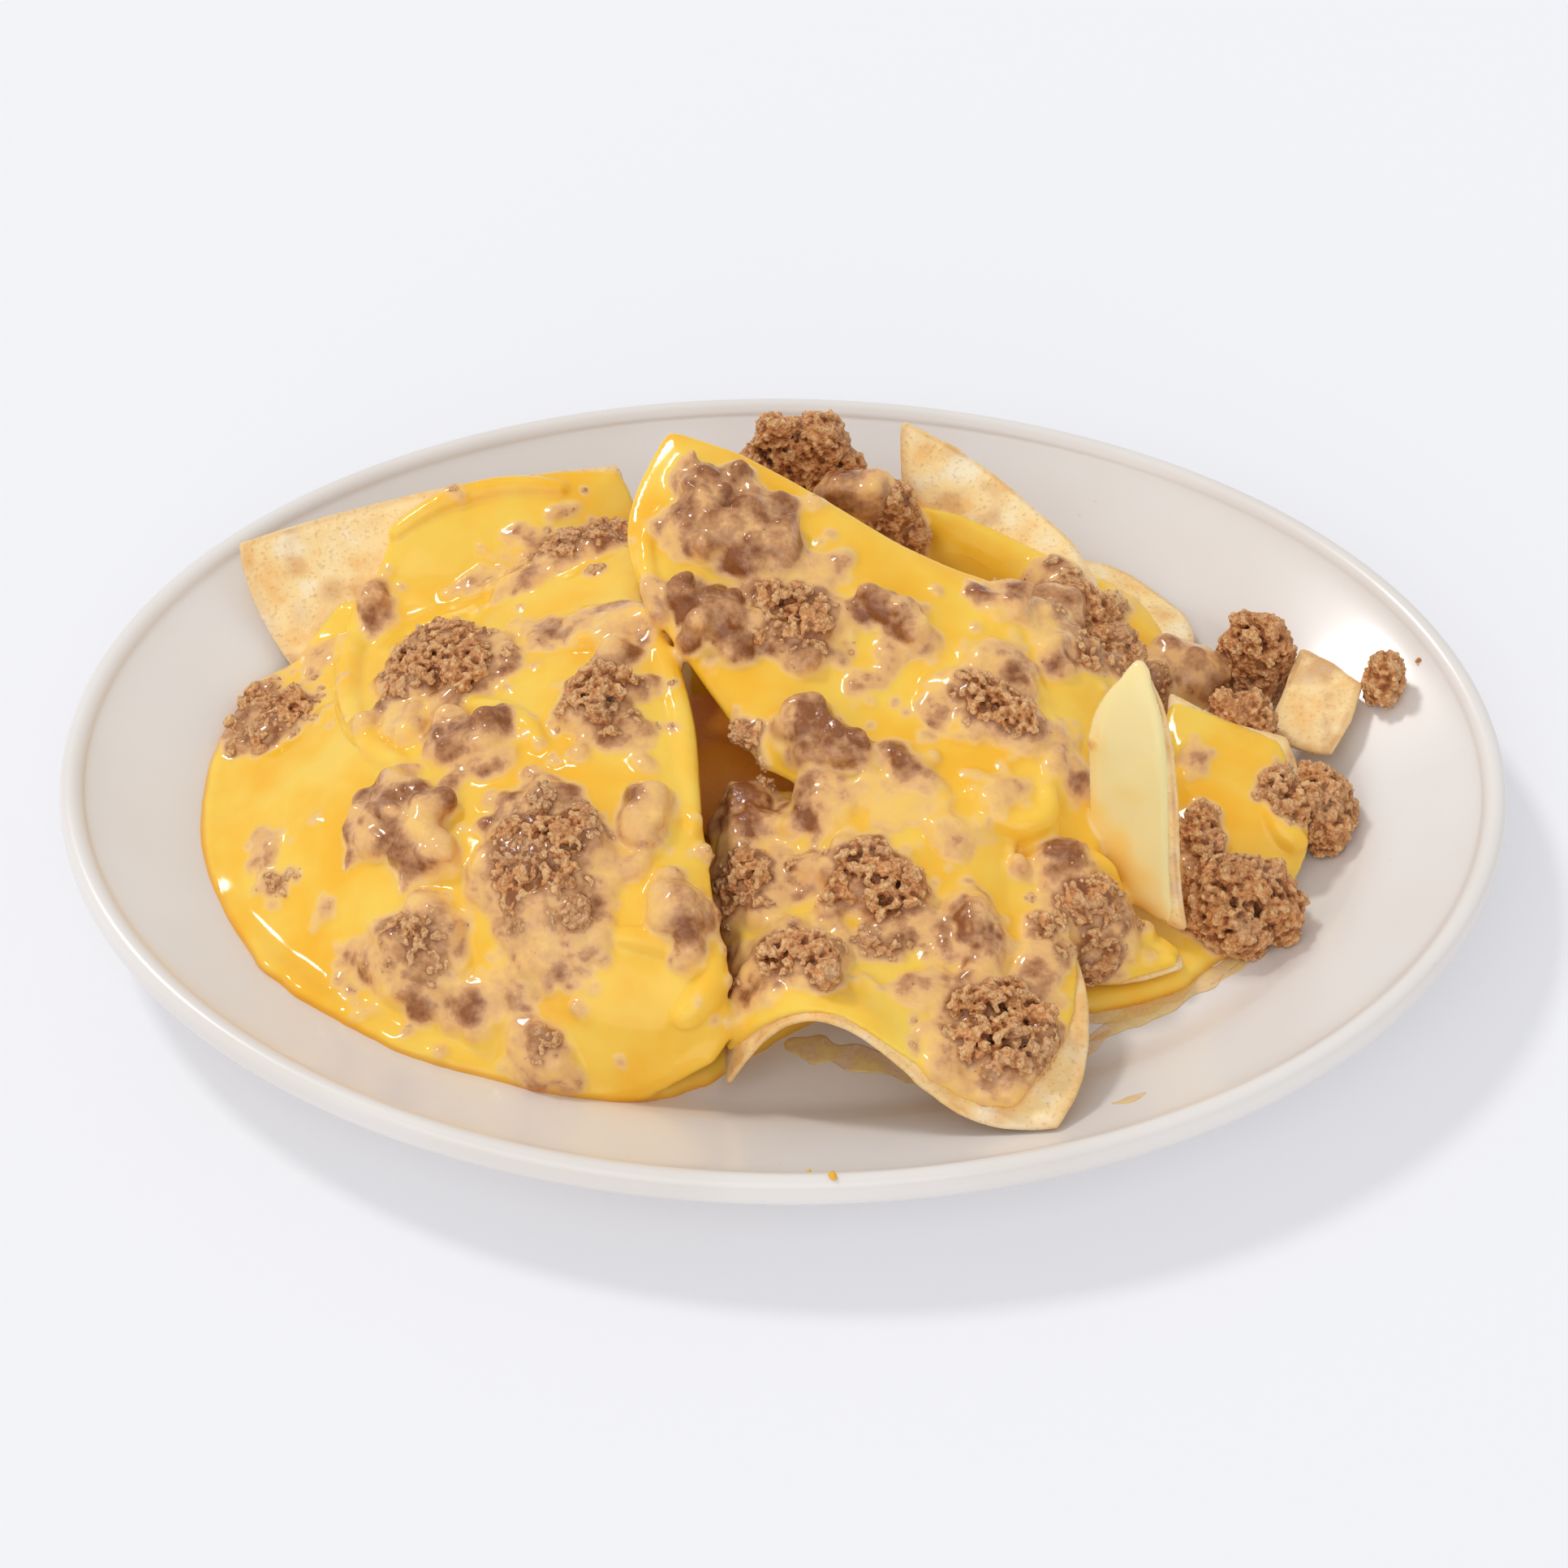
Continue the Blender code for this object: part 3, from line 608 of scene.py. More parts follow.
def chip_finish():
    """Fried corn: pale gold with blotches, toasted blister tops and a few dark specks."""
    finish = Finish("Tortilla chip")
    patches, fine, _ = finish.mottle(130.0, 1100.0)
    tint = finish.ramp(
        patches, (0.30, colour(250, 202, 128)), (0.5, colour(255, 224, 162)), (0.70, colour(255, 238, 200))
    )
    toast = finish.between(finish.attribute("toast"), 0.0, 1.0, 0.0, 0.6)
    tint = finish.mixed(toast, tint, colour(198, 130, 64))
    tint = finish.mixed(finish.between(fine, 0.55, 0.72, 0.0, 0.4), tint, colour(190, 128, 62))
    oil = finish.between(finish.attribute("oil"), 0.0, 1.0, 0.0, 0.97)
    finish.feed("Base Color", finish.mixed(oil, tint, colour(246, 160, 34)))
    finish.constants(Roughness=0.55, Subsurface_Weight=0.12, Subsurface_Scale=0.0015)
    finish.constants(Subsurface_Radius=(1.0, 0.6, 0.25))
    finish.raised(fine, 0.00025, 0.7)
    return finish.material


def plate_finish():
    """Off-white glaze with a faint warm cloud and tiny specks."""
    finish = Finish("Glazed stoneware")
    patches, fine, _ = finish.mottle(14.0, 420.0)
    cloud = finish.ramp(patches, (0.35, colour(230, 223, 217)), (0.65, colour(235, 230, 226)))
    speck = finish.between(fine, 0.70, 0.78, 0.0, 0.12)
    finish.feed("Base Color", finish.mixed(speck, cloud, colour(150, 130, 112)))
    finish.constants(Roughness=0.30, Coat_Weight=0.35, Coat_Roughness=0.10)
    finish.raised(patches, 0.0002, 0.25)
    return finish.material


def smear_finish():
    """A thin orange film of oil that the glaze shows through."""
    finish = Finish("Oil smear")
    patches, _, _ = finish.mottle(160.0, 900.0)
    tint = finish.ramp(patches, (0.35, colour(255, 200, 96)), (0.65, colour(255, 224, 146)))
    finish.feed("Base Color", tint)
    finish.feed("Alpha", finish.between(patches, 0.35, 0.65, 0.25, 0.75))
    finish.constants(Roughness=0.2)
    return finish.material


CHEESE = cheese_finish()
BEEF = beef_finish()
CHIP = chip_finish()
GLAZE = plate_finish()
OIL = smear_finish()

# ---------------------------------------------------------------- plate
PLATE_HALF_LENGTH, PLATE_HALF_WIDTH = 152.0, 117.5
PLATE_SIDES = 200
# Shares of a ring's size on the way in to the middle of the plate.
CLOSING_SHARES = (0.02, 0.25, 0.5, 0.75, 0.92)
# Distance in from the outer edge, and height: the upper face from the floor out to the lip, then the
# underside.
RIM = (
    (56, 7.0), (46, 7.0), (38, 7.0), (34, 7.9), (30.5, 9.9), (27, 12.2), (16, 17.0), (5.8, 22.1), (4.6, 24.2),
    (2.6, 25.2), (0.4, 24.4), (-0.2, 21.4), (0.4, 18.8), (3.0, 17.4), (16, 12.2), (29, 5.0), (35, 3.0),
    (46, 3.0), (46.5, 0.0), (51.5, 0.0), (52, 3.0), (62, 3.0),
)


def eased_profile(corners, rounds=3):
    """A smooth run through a profile: each round cuts every corner a quarter of the way along its sides."""
    line = np.asarray(corners, float)
    for _ in range(rounds):
        near = line[:-1] * 0.75 + line[1:] * 0.25
        far = line[:-1] * 0.25 + line[1:] * 0.75
        inner = np.stack([near, far], 1).reshape(-1, 2)
        line = np.concatenate([line[:1], inner, line[-1:]])
    return line


def inward(x, y):
    """How far in from the plate's outer edge each place is, along the rings of the rim, by halving."""
    low = np.zeros_like(x)
    high = np.full_like(x, PLATE_HALF_WIDTH - 1)
    for _ in range(30):
        middle = (low + high) / 2
        outside = (x / (PLATE_HALF_LENGTH - middle)) ** 2 + (y / (PLATE_HALF_WIDTH - middle)) ** 2 > 1
        high = np.where(outside, middle, high)
        low = np.where(outside, low, middle)
    return low


def plate_top(x, y):
    """Height of the plate's upper face."""
    upper = eased_profile(RIM[:10])[::-1]
    return np.interp(inward(x, y), upper[:, 0], upper[:, 1])


def add_plate():
    """The rim's smooth profile swept round an ellipse that loses the same inset from both half axes. The
    floor closes to a point by shrinking its first ring in step.

    The shrinking rings of the flat underside stand before its last five rings, so that flat face, on which
    nothing rests, lies folded on itself.
    """
    profile = eased_profile(RIM)
    inset, height = profile.T
    share = np.ones(len(profile))
    for at, end, closing in ((0, 0, CLOSING_SHARES), (len(profile), -1, CLOSING_SHARES[::-1])):
        inset = np.insert(inset, at, np.full(len(closing), profile[end, 0]))
        height = np.insert(height, at, np.full(len(closing), profile[end, 1]))
        share = np.insert(share, at, closing)
    angle = np.linspace(0, 2 * np.pi, PLATE_SIDES, endpoint=False)
    x = (PLATE_HALF_LENGTH - inset)[:, None] * share[:, None] * np.cos(angle)
    y = (PLATE_HALF_WIDTH - inset)[:, None] * share[:, None] * np.sin(angle)
    rings = np.stack([x, y, np.broadcast_to(height[:, None], x.shape)], -1)
    points, blocks = closed_rings(rings, (0, 0, height[0]), (0, 0, height[-1]))
    piece = add_piece("Platter", points, blocks, GLAZE)
    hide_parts("plate")


add_plate()

# ---------------------------------------------------------------- chips
CHIP_GRID = 69


def chip_seed(name):
    """The seed of a chip's ripple, which the sauce on it shares."""
    return 60 + sorted(SHEETS).index(name)


def add_chip(name, points, normal, seed):
    """A slab about a chip's middle surface. Blisters are domes about random seeds on each face, kept where
    a slow wave is high; the edge thins a little."""
    count = points.shape[0]
    share = np.linspace(0, 1, count)
    near_edge = np.minimum(np.minimum(share, 1 - share)[:, None], np.minimum(share, 1 - share)[None, :])
    thin = 0.62 + 0.38 * ease(near_edge, 0, 0.06)
    faces = []
    for side in (1.0, -1.0):
        gap, tag = nearest_seed(points + side * 40, 8.0, seed)
        keep = ease(waves(points, 17.0, seed + 5), -0.15, 0.35)
        blister = np.clip(1 - (gap / 0.55) ** 2, 0, 1) ** 1.5 * (0.35 + 0.65 * tag) * keep
        fine = rough(points, 2.6, seed + 9 + int(side), 2) * 0.10
        faces.append((CHIP_THICKNESS / 2 * thin + 0.75 * blister + fine, blister))
    upper = points + normal * faces[0][0][..., None]
    lower = points - normal * faces[1][0][..., None]
    body, blocks = rounded_slab(upper, lower, 3, 2)
    toast = faces[0][1] * 0.9 + 0.7 * ease(rough(points, 9.0, seed + 30), 0.35, 0.9)
    toast = toast + 0.4 * (1 - ease(near_edge, 0, 0.05))
    edge = np.full(len(body) - toast.size, 0.36)
    oil = np.full(len(body), 1.0 if name == "chip_under" else 0.0)
    piece = add_piece(
        "Tortilla" + name.replace("chip", ""),
        body,
        blocks,
        CHIP,
        {"toast": np.concatenate([toast.ravel(), edge]), "oil": oil},
    )
    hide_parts(name)


def add_chips():
    """Each chip on its own sheet, moved by its ripple, and the left chip just under the left sheet of
    sauce."""
    share = np.linspace(0, 1, CHIP_GRID)
    a, b = np.meshgrid(share, share, indexing="ij")
    for seed, name in enumerate(sorted(n for n in SHEETS if n.startswith("chip"))):
        u, v = squared_circle(a, b, 0.16)
        points, _, _, normal = sheet_frame(SHEETS[name], u, v)
        ripple = 0.5 * waves(points, 13.0, chip_seed(name))[..., None]
        add_chip(name, points + normal * ripple, normal, seed * 11 + 3)
    top, bottom, first, last = LEFT_CHIP
    u, v = squared_circle(top + (bottom - top) * a, first + (last - first) * b, 0.0)
    points, _, _, normal = sheet_frame(SHEETS["cheese_left"], u, v)
    add_chip("chip_left", points - normal * 1.6, normal, 401)


add_chips()

# ---------------------------------------------------------------- solids as distance fields
# No distance beyond FAR is told apart. The steps are the spacings of the fields' lattices.
FAR = 4.0
SAUCE_STEP = 0.64
BEEF_STEP = 0.45
SOLID_STEP = 0.7


def lattice(low, high, step):
    """The shape of an even lattice of places between two corners."""
    return tuple(np.ceil((np.asarray(high) - low) / step).astype(int) + 1)


def lattice_window(low, step, shape, least, most):
    """The slices of a lattice that cover a box, and the first place in them."""
    start = np.clip(np.floor((least - low) / step).astype(int), 0, shape)
    stop = np.clip(np.ceil((most - low) / step).astype(int) + 1, 0, shape)
    return tuple(slice(a, b) for a, b in zip(start, stop)), low + start * step


def places(low, step, shape):
    """The position of every place of a lattice."""
    axes = [low[k] + step * np.arange(shape[k], dtype=np.float32) for k in range(3)]
    return np.stack(np.meshgrid(*axes, indexing="ij"), -1)


def distance_to(points, blocks, low, shape, step):
    """Signed distance from each place of a lattice to a closed surface: negative inside, never beyond FAR."""
    sorted_blocks = {3: [np.empty((0, 3), int)], 4: [np.empty((0, 4), int)]}
    for block in blocks:
        sorted_blocks[block.shape[1]].append(block)
    grid = openvdb.FloatGrid.createLevelSetFromPolygons(
        ((points - low) / step).astype(np.float32),
        triangles=np.concatenate(sorted_blocks[3]).astype(np.uint32),
        quads=np.concatenate(sorted_blocks[4]).astype(np.uint32),
        transform=openvdb.createLinearTransform(1.0),
        halfWidth=FAR / step,
    )
    field = np.zeros(shape, np.float32)
    grid.copyToArray(field, ijk=(0, 0, 0))
    return field * step


def joined(first, second, blend):
    """The union of two fields, with a fillet of that size in the corner between them."""
    share = np.clip(0.5 + 0.5 * (second - first) / blend, 0, 1)
    return second * (1 - share) + first * share - blend * share * (1 - share)


def read_field(field, low, step, points):
    """The field's value at each place, shared out between the eight lattice places round it."""
    place = (points - low) / step
    cell = np.clip(np.floor(place).astype(int), 0, np.array(field.shape) - 2)
    t = np.clip(place - cell, 0, 1)
    total = 0.0
    for corner in np.ndindex(2, 2, 2):
        at = cell + corner
        share = np.prod(np.where(np.array(corner) == 1, t, 1 - t), axis=-1)
        total = total + share * field[at[..., 0], at[..., 1], at[..., 2]]
    return total


def surface_of(field, low, step):
    """Points and outward quads where a field is zero."""
    grid = openvdb.FloatGrid(FAR)
    grid.copyFromArray(np.clip(field, -FAR, FAR).astype(np.float32))
    points, quads = grid.convertToQuads(isovalue=0.0)
    points = low + np.asarray(points, float) * step
    quads = np.asarray(quads, np.int64)
    a, b, c, d = (points[quads[:, k]] for k in range(4))
    volume = (np.cross(b - a, c - a) * a).sum() + (np.cross(c - a, d - a) * a).sum()
    return points, quads if volume > 0 else quads[:, ::-1]


def stamp(field, low, step, grains, blend, margin=1.2):
    """Joins grains into a field, each within its own small window.

    A grain is a ball drawn out or pressed along its lean: place, radius, lean and stretch.
    """
    shape = np.array(field.shape)
    for grain in grains:
        place, radius, lean, stretch = grain[:3], grain[3], grain[4:7], grain[7]
        reach = radius * max(1.0, stretch) + margin
        slices, start = lattice_window(low, step, shape, place - reach, place + reach)
        part = field[slices]
        if part.size == 0:
            continue
        x, y, z = (start[k] - place[k] + step * np.arange(part.shape[k]) for k in range(3))
        x, y, z = x[:, None, None], y[None, :, None], z[None, None, :]
        along = x * lean[0] + y * lean[1] + z * lean[2]
        gap = np.sqrt(x * x + y * y + z * z + (stretch**-2 - 1) * along**2) - radius
        field[slices] = joined(part, gap, blend)


# ---------------------------------------------------------------- beef
# Each size of grain: spacing, least and most radius as shares of it. A clump's box is drawn round its main
# ones.
MAIN_GRAIN = 0.7
GRAINS = ((5.4, 0.34, 0.54), (2.8, 0.30, 0.52), (1.5, 0.34, 0.56))
# How thick a film of sauce covers each clump on average. Below zero most of it is bare.
FILM = {
    "beef_back_left": -0.45, "beef_left_upper": -0.35, "beef_left_ridge": -0.5, "beef_left_bump": 0.40,
    "beef_left_mound": 0.45, "beef_left_middle": 0.1, "beef_left_low": 0.15, "beef_left_side": 0.45,
    "beef_left_knob": 0.45, "beef_left_front": 0.15, "beef_left_edge": -0.7, "beef_tall_top": 0.22,
    "beef_tall_left": 0.2, "beef_tall_middle": -0.3, "beef_tall_back": 0.30, "beef_tall_front": 0.40,
    "beef_tall_small": 0.30, "beef_tall_right": -0.45, "beef_front_top": 0.35, "beef_front_back": 0.35,
    "beef_front_middle": -0.4, "beef_front_side": -0.15, "beef_front_left": -0.1, "beef_front_right": -0.6,
    "beef_gap_right": -0.25, "beef_back": -0.70, "beef_back_inner": -0.2, "beef_inner_right": -0.4,
    "beef_far_right": -0.40, "beef_right_inner": 0.40, "beef_right_edge": -0.9, "beef_right_front": -0.9,
    "beef_rim_crumb": -1.5,
}
# A patch or heap under no more film than BARE shows as a piece of its own; a clump under WHOLE_COAT or more
# never does.
BARE, WHOLE_COAT = 0.1, 0.19
# A bare clump on the sauce stands in a lower coated patch, wider than itself.
SKIRT_SPREAD, SKIRT_FILM = 1.22, 0.4
COATED = {name for name, film in FILM.items() if film >= WHOLE_COAT}
SMOOTH = {
    "beef_left_bump", "beef_left_mound", "beef_left_side", "beef_left_knob",
    "beef_tall_top", "beef_tall_left", "beef_right_inner",
}
# Clumps that rest on the plate or lean on it keep their own full shape; the rest lie on the sauce and take
# its slope.
STANDING = {
    "beef_back", "beef_back_inner", "beef_far_right", "beef_right_edge", "beef_right_front", "beef_rim_crumb",
}
# Thinner patches of beef in the sauce: place along and across the plate, half sizes, height and film.
PATCHES = (
    (-109, 20, 7.5, 11, 4.5, -0.1), (68, 34, 7, 8, 3.5, 0.05), (90, 30, 7, 6, 3, 0.35),
    (97, 27, 6, 5, 3, 0.2), (50, 34, 6, 7, 3, 0.1), (18, 58, 6, 5, 2.5, 0.3), (100, 22, 4, 4, 2.5, 0.3),
    (-59, 57.7, 6.6, 3.4, 2, 0.45), (-55.9, 44.3, 6, 7.5, 2.5, 0.35), (-65.8, 49.3, 7.8, 3.9, 0.8, 0.6),
    (-35.3, 17.4, 10.3, 6, 1.4, 0.5), (-89.8, 43.7, 3.8, 9.7, 2.2, 0.5), (-78.8, -0.3, 3.8, 5.4, 2, 0.4),
    (-101.2, 33.7, 6, 5.4, 1, 0.6), (-106.5, -24.4, 3.8, 5.6, 1.4, 0.12),
    (-104.2, -33.8, 4.5, 3, 1.2, 0.1), (-84.8, -53.8, 4.5, 3, 1.2, 0.15),
    (-92.4, -43.6, 3.4, 2.6, 0.8, 0.4), (-53.9, -68.2, 7.8, 5.4, 0.9, 0.45),
    (-40.8, -65.8, 7.8, 6.5, 2, 0.2), (-34.8, -55.3, 5.2, 5.4, 1.2, 0.4),
    (-25.8, -38.7, 2.4, 4.3, 1, 0.3), (-52.2, -35.1, 7.8, 5.4, 1.5, 0.35),
    (-60.1, -18.4, 6.9, 4.7, 1.6, 0.5), (-74.4, 67.6, 2.1, 1.9, 1.4, 0.1),
    (16.1, -0.6, 4.1, 3.2, 1.3, 0.2), (7.6, 5.6, 4.5, 3, 1.1, 0.3), (26.1, 7.9, 6.9, 3.4, 1, 0.4),
    (42.2, 22.1, 7.2, 4.7, 2, 0.2), (36.2, -0.9, 5.2, 4.3, 1, 0.5), (32.9, -8.3, 4.3, 4.3, 1.5, 0.35),
    (44.6, 5.9, 6.6, 6, 3, 0.5), (57.8, 41.3, 7.2, 7.8, 3.5, 0.08), (63.9, 17.9, 7.6, 6.5, 3.2, 0.1),
    (71.5, 55.3, 3.1, 4.3, 3, 0.02), (26.4, -22, 3.8, 4.3, 2, 0.25), (46.3, -24.8, 4.8, 4.7, 1.3, 0.4),
    (57.5, -15, 3, 8, 1.4, 0.45), (5, -26.2, 7.2, 7.5, 2.6, 0.4), (-9.5, -15.3, 6.6, 8.2, 3, 0.1),
    (-1.4, -36.7, 5.2, 4.3, 1.6, 0.5), (13.3, -26.1, 10.3, 4.7, 1, 0.6), (34.9, -37.4, 6.9, 4.3, 1, 0.6),
    (-22.4, 33.6, 2.8, 7.3, 1.4, 0.4), (5.5, 25.9, 8.6, 4.7, 1, 0.6), (21.9, -59.1, 10.7, 6.5, 2.6, 0.1),
    (38.1, -55.9, 7.2, 10.8, 3, 0.4), (7.4, -62.9, 6.9, 3.2, 1, 0.5), (31.6, -70.6, 8.6, 5.4, 1.3, 0.45),
    (-8.9, -59.5, 4.5, 7.8, 2.2, 0.3), (52.7, -63.4, 5.2, 7.8, 1.5, 0.5),
    (33.2, -85.5, 3.4, 7.8, 2, 0.35), (86.3, 0.9, 3.4, 5.2, 0.8, 0.5), (50, 21, 7, 6, 3.5, 0.2),
    (56.7, 12.5, 4.8, 6, 3.5, 0.4), (45.3, 4.1, 6.8, 7.5, 3.5, 0.45), (59.5, -16.9, 3.2, 6.5, 2.2, 0.35),
    (45.3, -26.2, 3.6, 4, 1.5, 0.25), (71.2, 53.8, 3.5, 5, 3, -0.2), (103, 25, 6, 4, 4, -0.5),
    (106.5, -5, 6, 8, 5, -0.6), (87, -17, 4, 6, 4, -0.2), (88.5, -34.9, 4.5, 5, 4, -0.6),
    (66, -44, 8.5, 6.5, 4.5, -0.3), (58, -38, 6, 5, 2.5, 0.35), (53.8, -54, 4, 8, 2.5, 0.1),
    (-43, 56, 8, 8, 5, -0.7), (-51, 50, 8, 5, 3, 0), (-112, 14, 6, 9, 4, -0.7),
    (-47.4, 18.5, 10, 7, 1.4, 0.45), (22.5, -26.5, 14, 9, 0.6, 0.7), (36.5, -37.2, 9, 6, 0.6, 0.6),
    (57.5, -46, 5, 5, 3.5, -0.1),
)

# Heaps of beef that rise between chips: place, half sizes and film.
HEAPS = (
    (61, 36, 34, 9, 7, 7, -0.3), (68, 28, 30, 8, 7, 6, -0.4), (56, 31, 38, 7, 6, 5, 0.3),
    (85.5, 38, 14, 8.5, 8, 8, 0.4), (78, 31, 17, 5, 5, 5, 0.05), (52, 24, 42, 6, 5, 3.5, 0.1),
    (14, 65, 41, 8, 6, 6, 0.35), (97.5, 17.5, 20, 8, 6, 6.5, -0.5),
)

# Folds and beads of sauce: thickness, then the places they run through.
BEADS = (
    (2.0, ((-31, 22.5), (-28, 15), (-25, 6.8), (-22.5, -2), (-20, -13.6), (-18.5, -27), (-17, -40))),
    (2.0, ((-78.8, -5.9), (-75.3, -0.6), (-68.4, 0.4), (-60.4, -3.2), (-53.1, -9.5), (-49.9, -14.9))),
    (2.6, ((-90.1, 58), (-90.8, 52), (-91.2, 45), (-93.4, 37), (-92.9, 17), (-86.4, -3.5), (-77.9, -15))),
    (1.8, ((-31.2, -63.6), (-24.7, -63.9), (-18.2, -65.5))),
    (2.6, ((-13, -64), (-12, -70), (-14.8, -74.5), (-18.2, -76.5))),
    (1.8, ((-87, 60), (-78, 66), (-70, 69), (-60, 70.5), (-50, 70))),
    (2.0, ((44, -30), (50, -30.5), (54, -28), (55, -22))),
    (2.2, ((55, -36), (61, -33.5), (68, -34), (73.5, -37.5), (75.5, -42))),
    (1.5, ((-29.8, 35), (-29, 25), (-26, 15.7), (-22, 7), (-17, -2), (-12, -8), (-7.5, -12), (-2.9, -16.3))),
    (2.0, ((101.4, -9), (105.6, -13.9), (108.5, -14.7))),
)


def leaning(rng, count, least, most):
    """Random directions and stretches for grains."""
    lean = rng.normal(size=(count, 3))
    lean /= np.linalg.norm(lean, axis=1, keepdims=True)
    return np.column_stack([lean, rng.uniform(least, most, count)])


def outline_share(x, y, spot):
    """How far out a place is in a patch, 1 at its uneven outline, and the shape's own height share there."""
    middle_x, middle_y, half_x, half_y, turn = spot[:5]
    along = (x - middle_x) * np.cos(turn) + (y - middle_y) * np.sin(turn)
    across = (y - middle_y) * np.cos(turn) - (x - middle_x) * np.sin(turn)
    flat = np.stack([x, y, np.zeros_like(x)], -1)
    uneven = 0.34 * waves(flat, 8.0, 411) + 0.34 * waves(flat, 3.4, 412)
    out = np.hypot(along / half_x, across / half_y) * 1.16 + uneven
    return out, np.sqrt(np.clip(1 - out**2, 0, 1))


def spot_of(name, top):
    """The patch that a clump on the sauce makes: middle, half sizes, turn and height over the sauce."""
    corners = node_points(name)
    flat = corners[:, :2] - corners[:, :2].mean(0)
    _, axes = np.linalg.eigh(flat.T @ flat)
    long_axis, short_axis = axes[:, 1], axes[:, 0]
    half = np.abs(flat @ long_axis).max(), np.abs(flat @ short_axis).max()
    lift = corners[:, 2] - top(corners[:, 0], corners[:, 1])
    middle = corners[:, :2].mean(0)
    height = float(np.clip(np.percentile(lift, 92) * 0.85, 2.0, 7.5))
    return (*middle, *half, float(np.arctan2(long_axis[1], long_axis[0])), height)


def held_up(x, y, spot, top):
    """Whether a place is on the same stretch of sauce as a patch's middle, not over an edge beside it."""
    middle = top(spot[0], spot[1])
    on_plate = middle - plate_top(np.array([spot[0]]), np.array([spot[1]]))[0] < 4
    on_sauce = top(x, y) - plate_top(x, y) > 2.5
    return (top(x, y) > middle - 3 - 0.38 * (spot[2] + spot[3])) & (on_sauce | on_plate)


def patch_grains(spot, top, rng):
    """Grains piled on the sauce within a patch's uneven outline, and a halo of smaller ones round it."""
    x0, y0, half_x, half_y, turn, height = spot
    kept = []
    for size, least, most in GRAINS:
        if size * least > height * 0.8:
            continue
        count = int(4 * half_x * half_y / size**2 * (1.2 + 0.5 * height / size))
        a, b = rng.uniform(-1.4, 1.4, (2, count)) * np.array([[half_x], [half_y]])
        x = x0 + a * np.cos(turn) - b * np.sin(turn)
        y = y0 + a * np.sin(turn) + b * np.cos(turn)
        out, share = outline_share(x, y, spot)
        radius = np.minimum(size * rng.uniform(least, most, count), height * 0.75)
        z = top(x, y) + height * share * rng.random(count) ** 0.45 - radius * 0.75
        rows = np.column_stack([x, y, z, radius, leaning(rng, count, 0.6, 1.6)])
        kept.append(rows[out < 1])
    count = int(0.55 * (half_x + half_y))
    turnings, reach = rng.uniform(0, 2 * np.pi, count), 0.8 + np.abs(rng.normal(scale=0.4, size=count))
    x = x0 + np.cos(turnings) * half_x * reach
    y = y0 + np.sin(turnings) * half_y * reach
    radius = np.clip(0.36 * (1 - rng.random(count)) ** -0.5, 0, 1.9)
    z = top(x, y) - radius * rng.uniform(0.1, 1.3, count)
    if top(x0, y0) - plate_top(np.array([x0]), np.array([y0]))[0] > 4:
        kept.append(np.column_stack([x, y, z, radius, leaning(rng, count, 0.5, 2.2)]))
    kept = np.concatenate(kept)
    return kept[held_up(kept[:, 0], kept[:, 1], spot, top)]


def patch_body(spot, top):
    """The field of the solid pile under a patch's grains."""

    def body(spots):
        x, y = spots[..., 0, 0], spots[..., 0, 1]
        out, share = outline_share(x, y, spot)
        ground = top(x, y)
        piled = (out < 1) & held_up(x, y, spot, top)
        crown = ground + np.where(piled, spot[5] * share * 0.66 - 1.0, -6.0)
        return np.maximum((spots[..., 2] - crown[..., None]) * 0.7, ground[..., None] - 1.8 - spots[..., 2])

    return body


def solid_grains(name, rng):
    """Grains at random places inside a standing clump's solid, unevenly held, and the solid's own field
    drawn in."""
    corners = node_points(name)
    low, high = corners.min(0) - 0.5, corners.max(0) + 0.5
    shape = lattice(low - 2, high + 2, SOLID_STEP)
    inside = distance_to(corners, [node_triangles(name)], low - 2, shape, SOLID_STEP)

    def uneven(spots):
        return 1.7 * waves(spots, 8.0, 431) + 0.9 * waves(spots, 3.6, 432)

    kept = []
    for size, least, most in GRAINS:
        count = int(np.prod(high - low) / size**3 * 2.2)
        place = rng.uniform(low, high, (count, 3))
        radius = size * rng.uniform(least, most, count)
        depth = read_field(inside, low - 2, SOLID_STEP, place) + uneven(place)
        held = (depth < 0.15 * size - 0.6 * radius) & (depth > -2.2 * size)
        kept.append(np.column_stack([place, radius, leaning(rng, count, 0.6, 1.5)])[held])

    def body(spots):
        return read_field(inside, low - 2, SOLID_STEP, spots) + 1.3 + uneven(spots)

    return np.concatenate(kept), body


def heap_solid(x, y, z, half_x, half_y, half_z, rng):
    """Grains near the surface of an uneven ellipsoid, and the field of the ellipsoid a little inside them."""
    middle, half = np.array((x, y, z)), np.array((half_x, half_y, half_z))
    kept = []
    for size, least, most in GRAINS:
        count = int(9 * (half.prod() ** (1 / 3) / size) ** 2)
        way = rng.normal(size=(count, 3))
        way /= np.linalg.norm(way, axis=1, keepdims=True)
        place = middle + way * half * (0.78 + 0.3 * waves(way * 9, 7.0, 441))[:, None]
        radius = size * rng.uniform(least, most, count)
        kept.append(np.column_stack([place, radius, leaning(rng, count, 0.6, 1.5)]))

    def body(spots):
        out = np.linalg.norm((spots - middle) / half, axis=-1)
        return (out - 0.8) * half.min() + 1.1 * waves(spots, 6.0, 442)

    return np.concatenate(kept), body


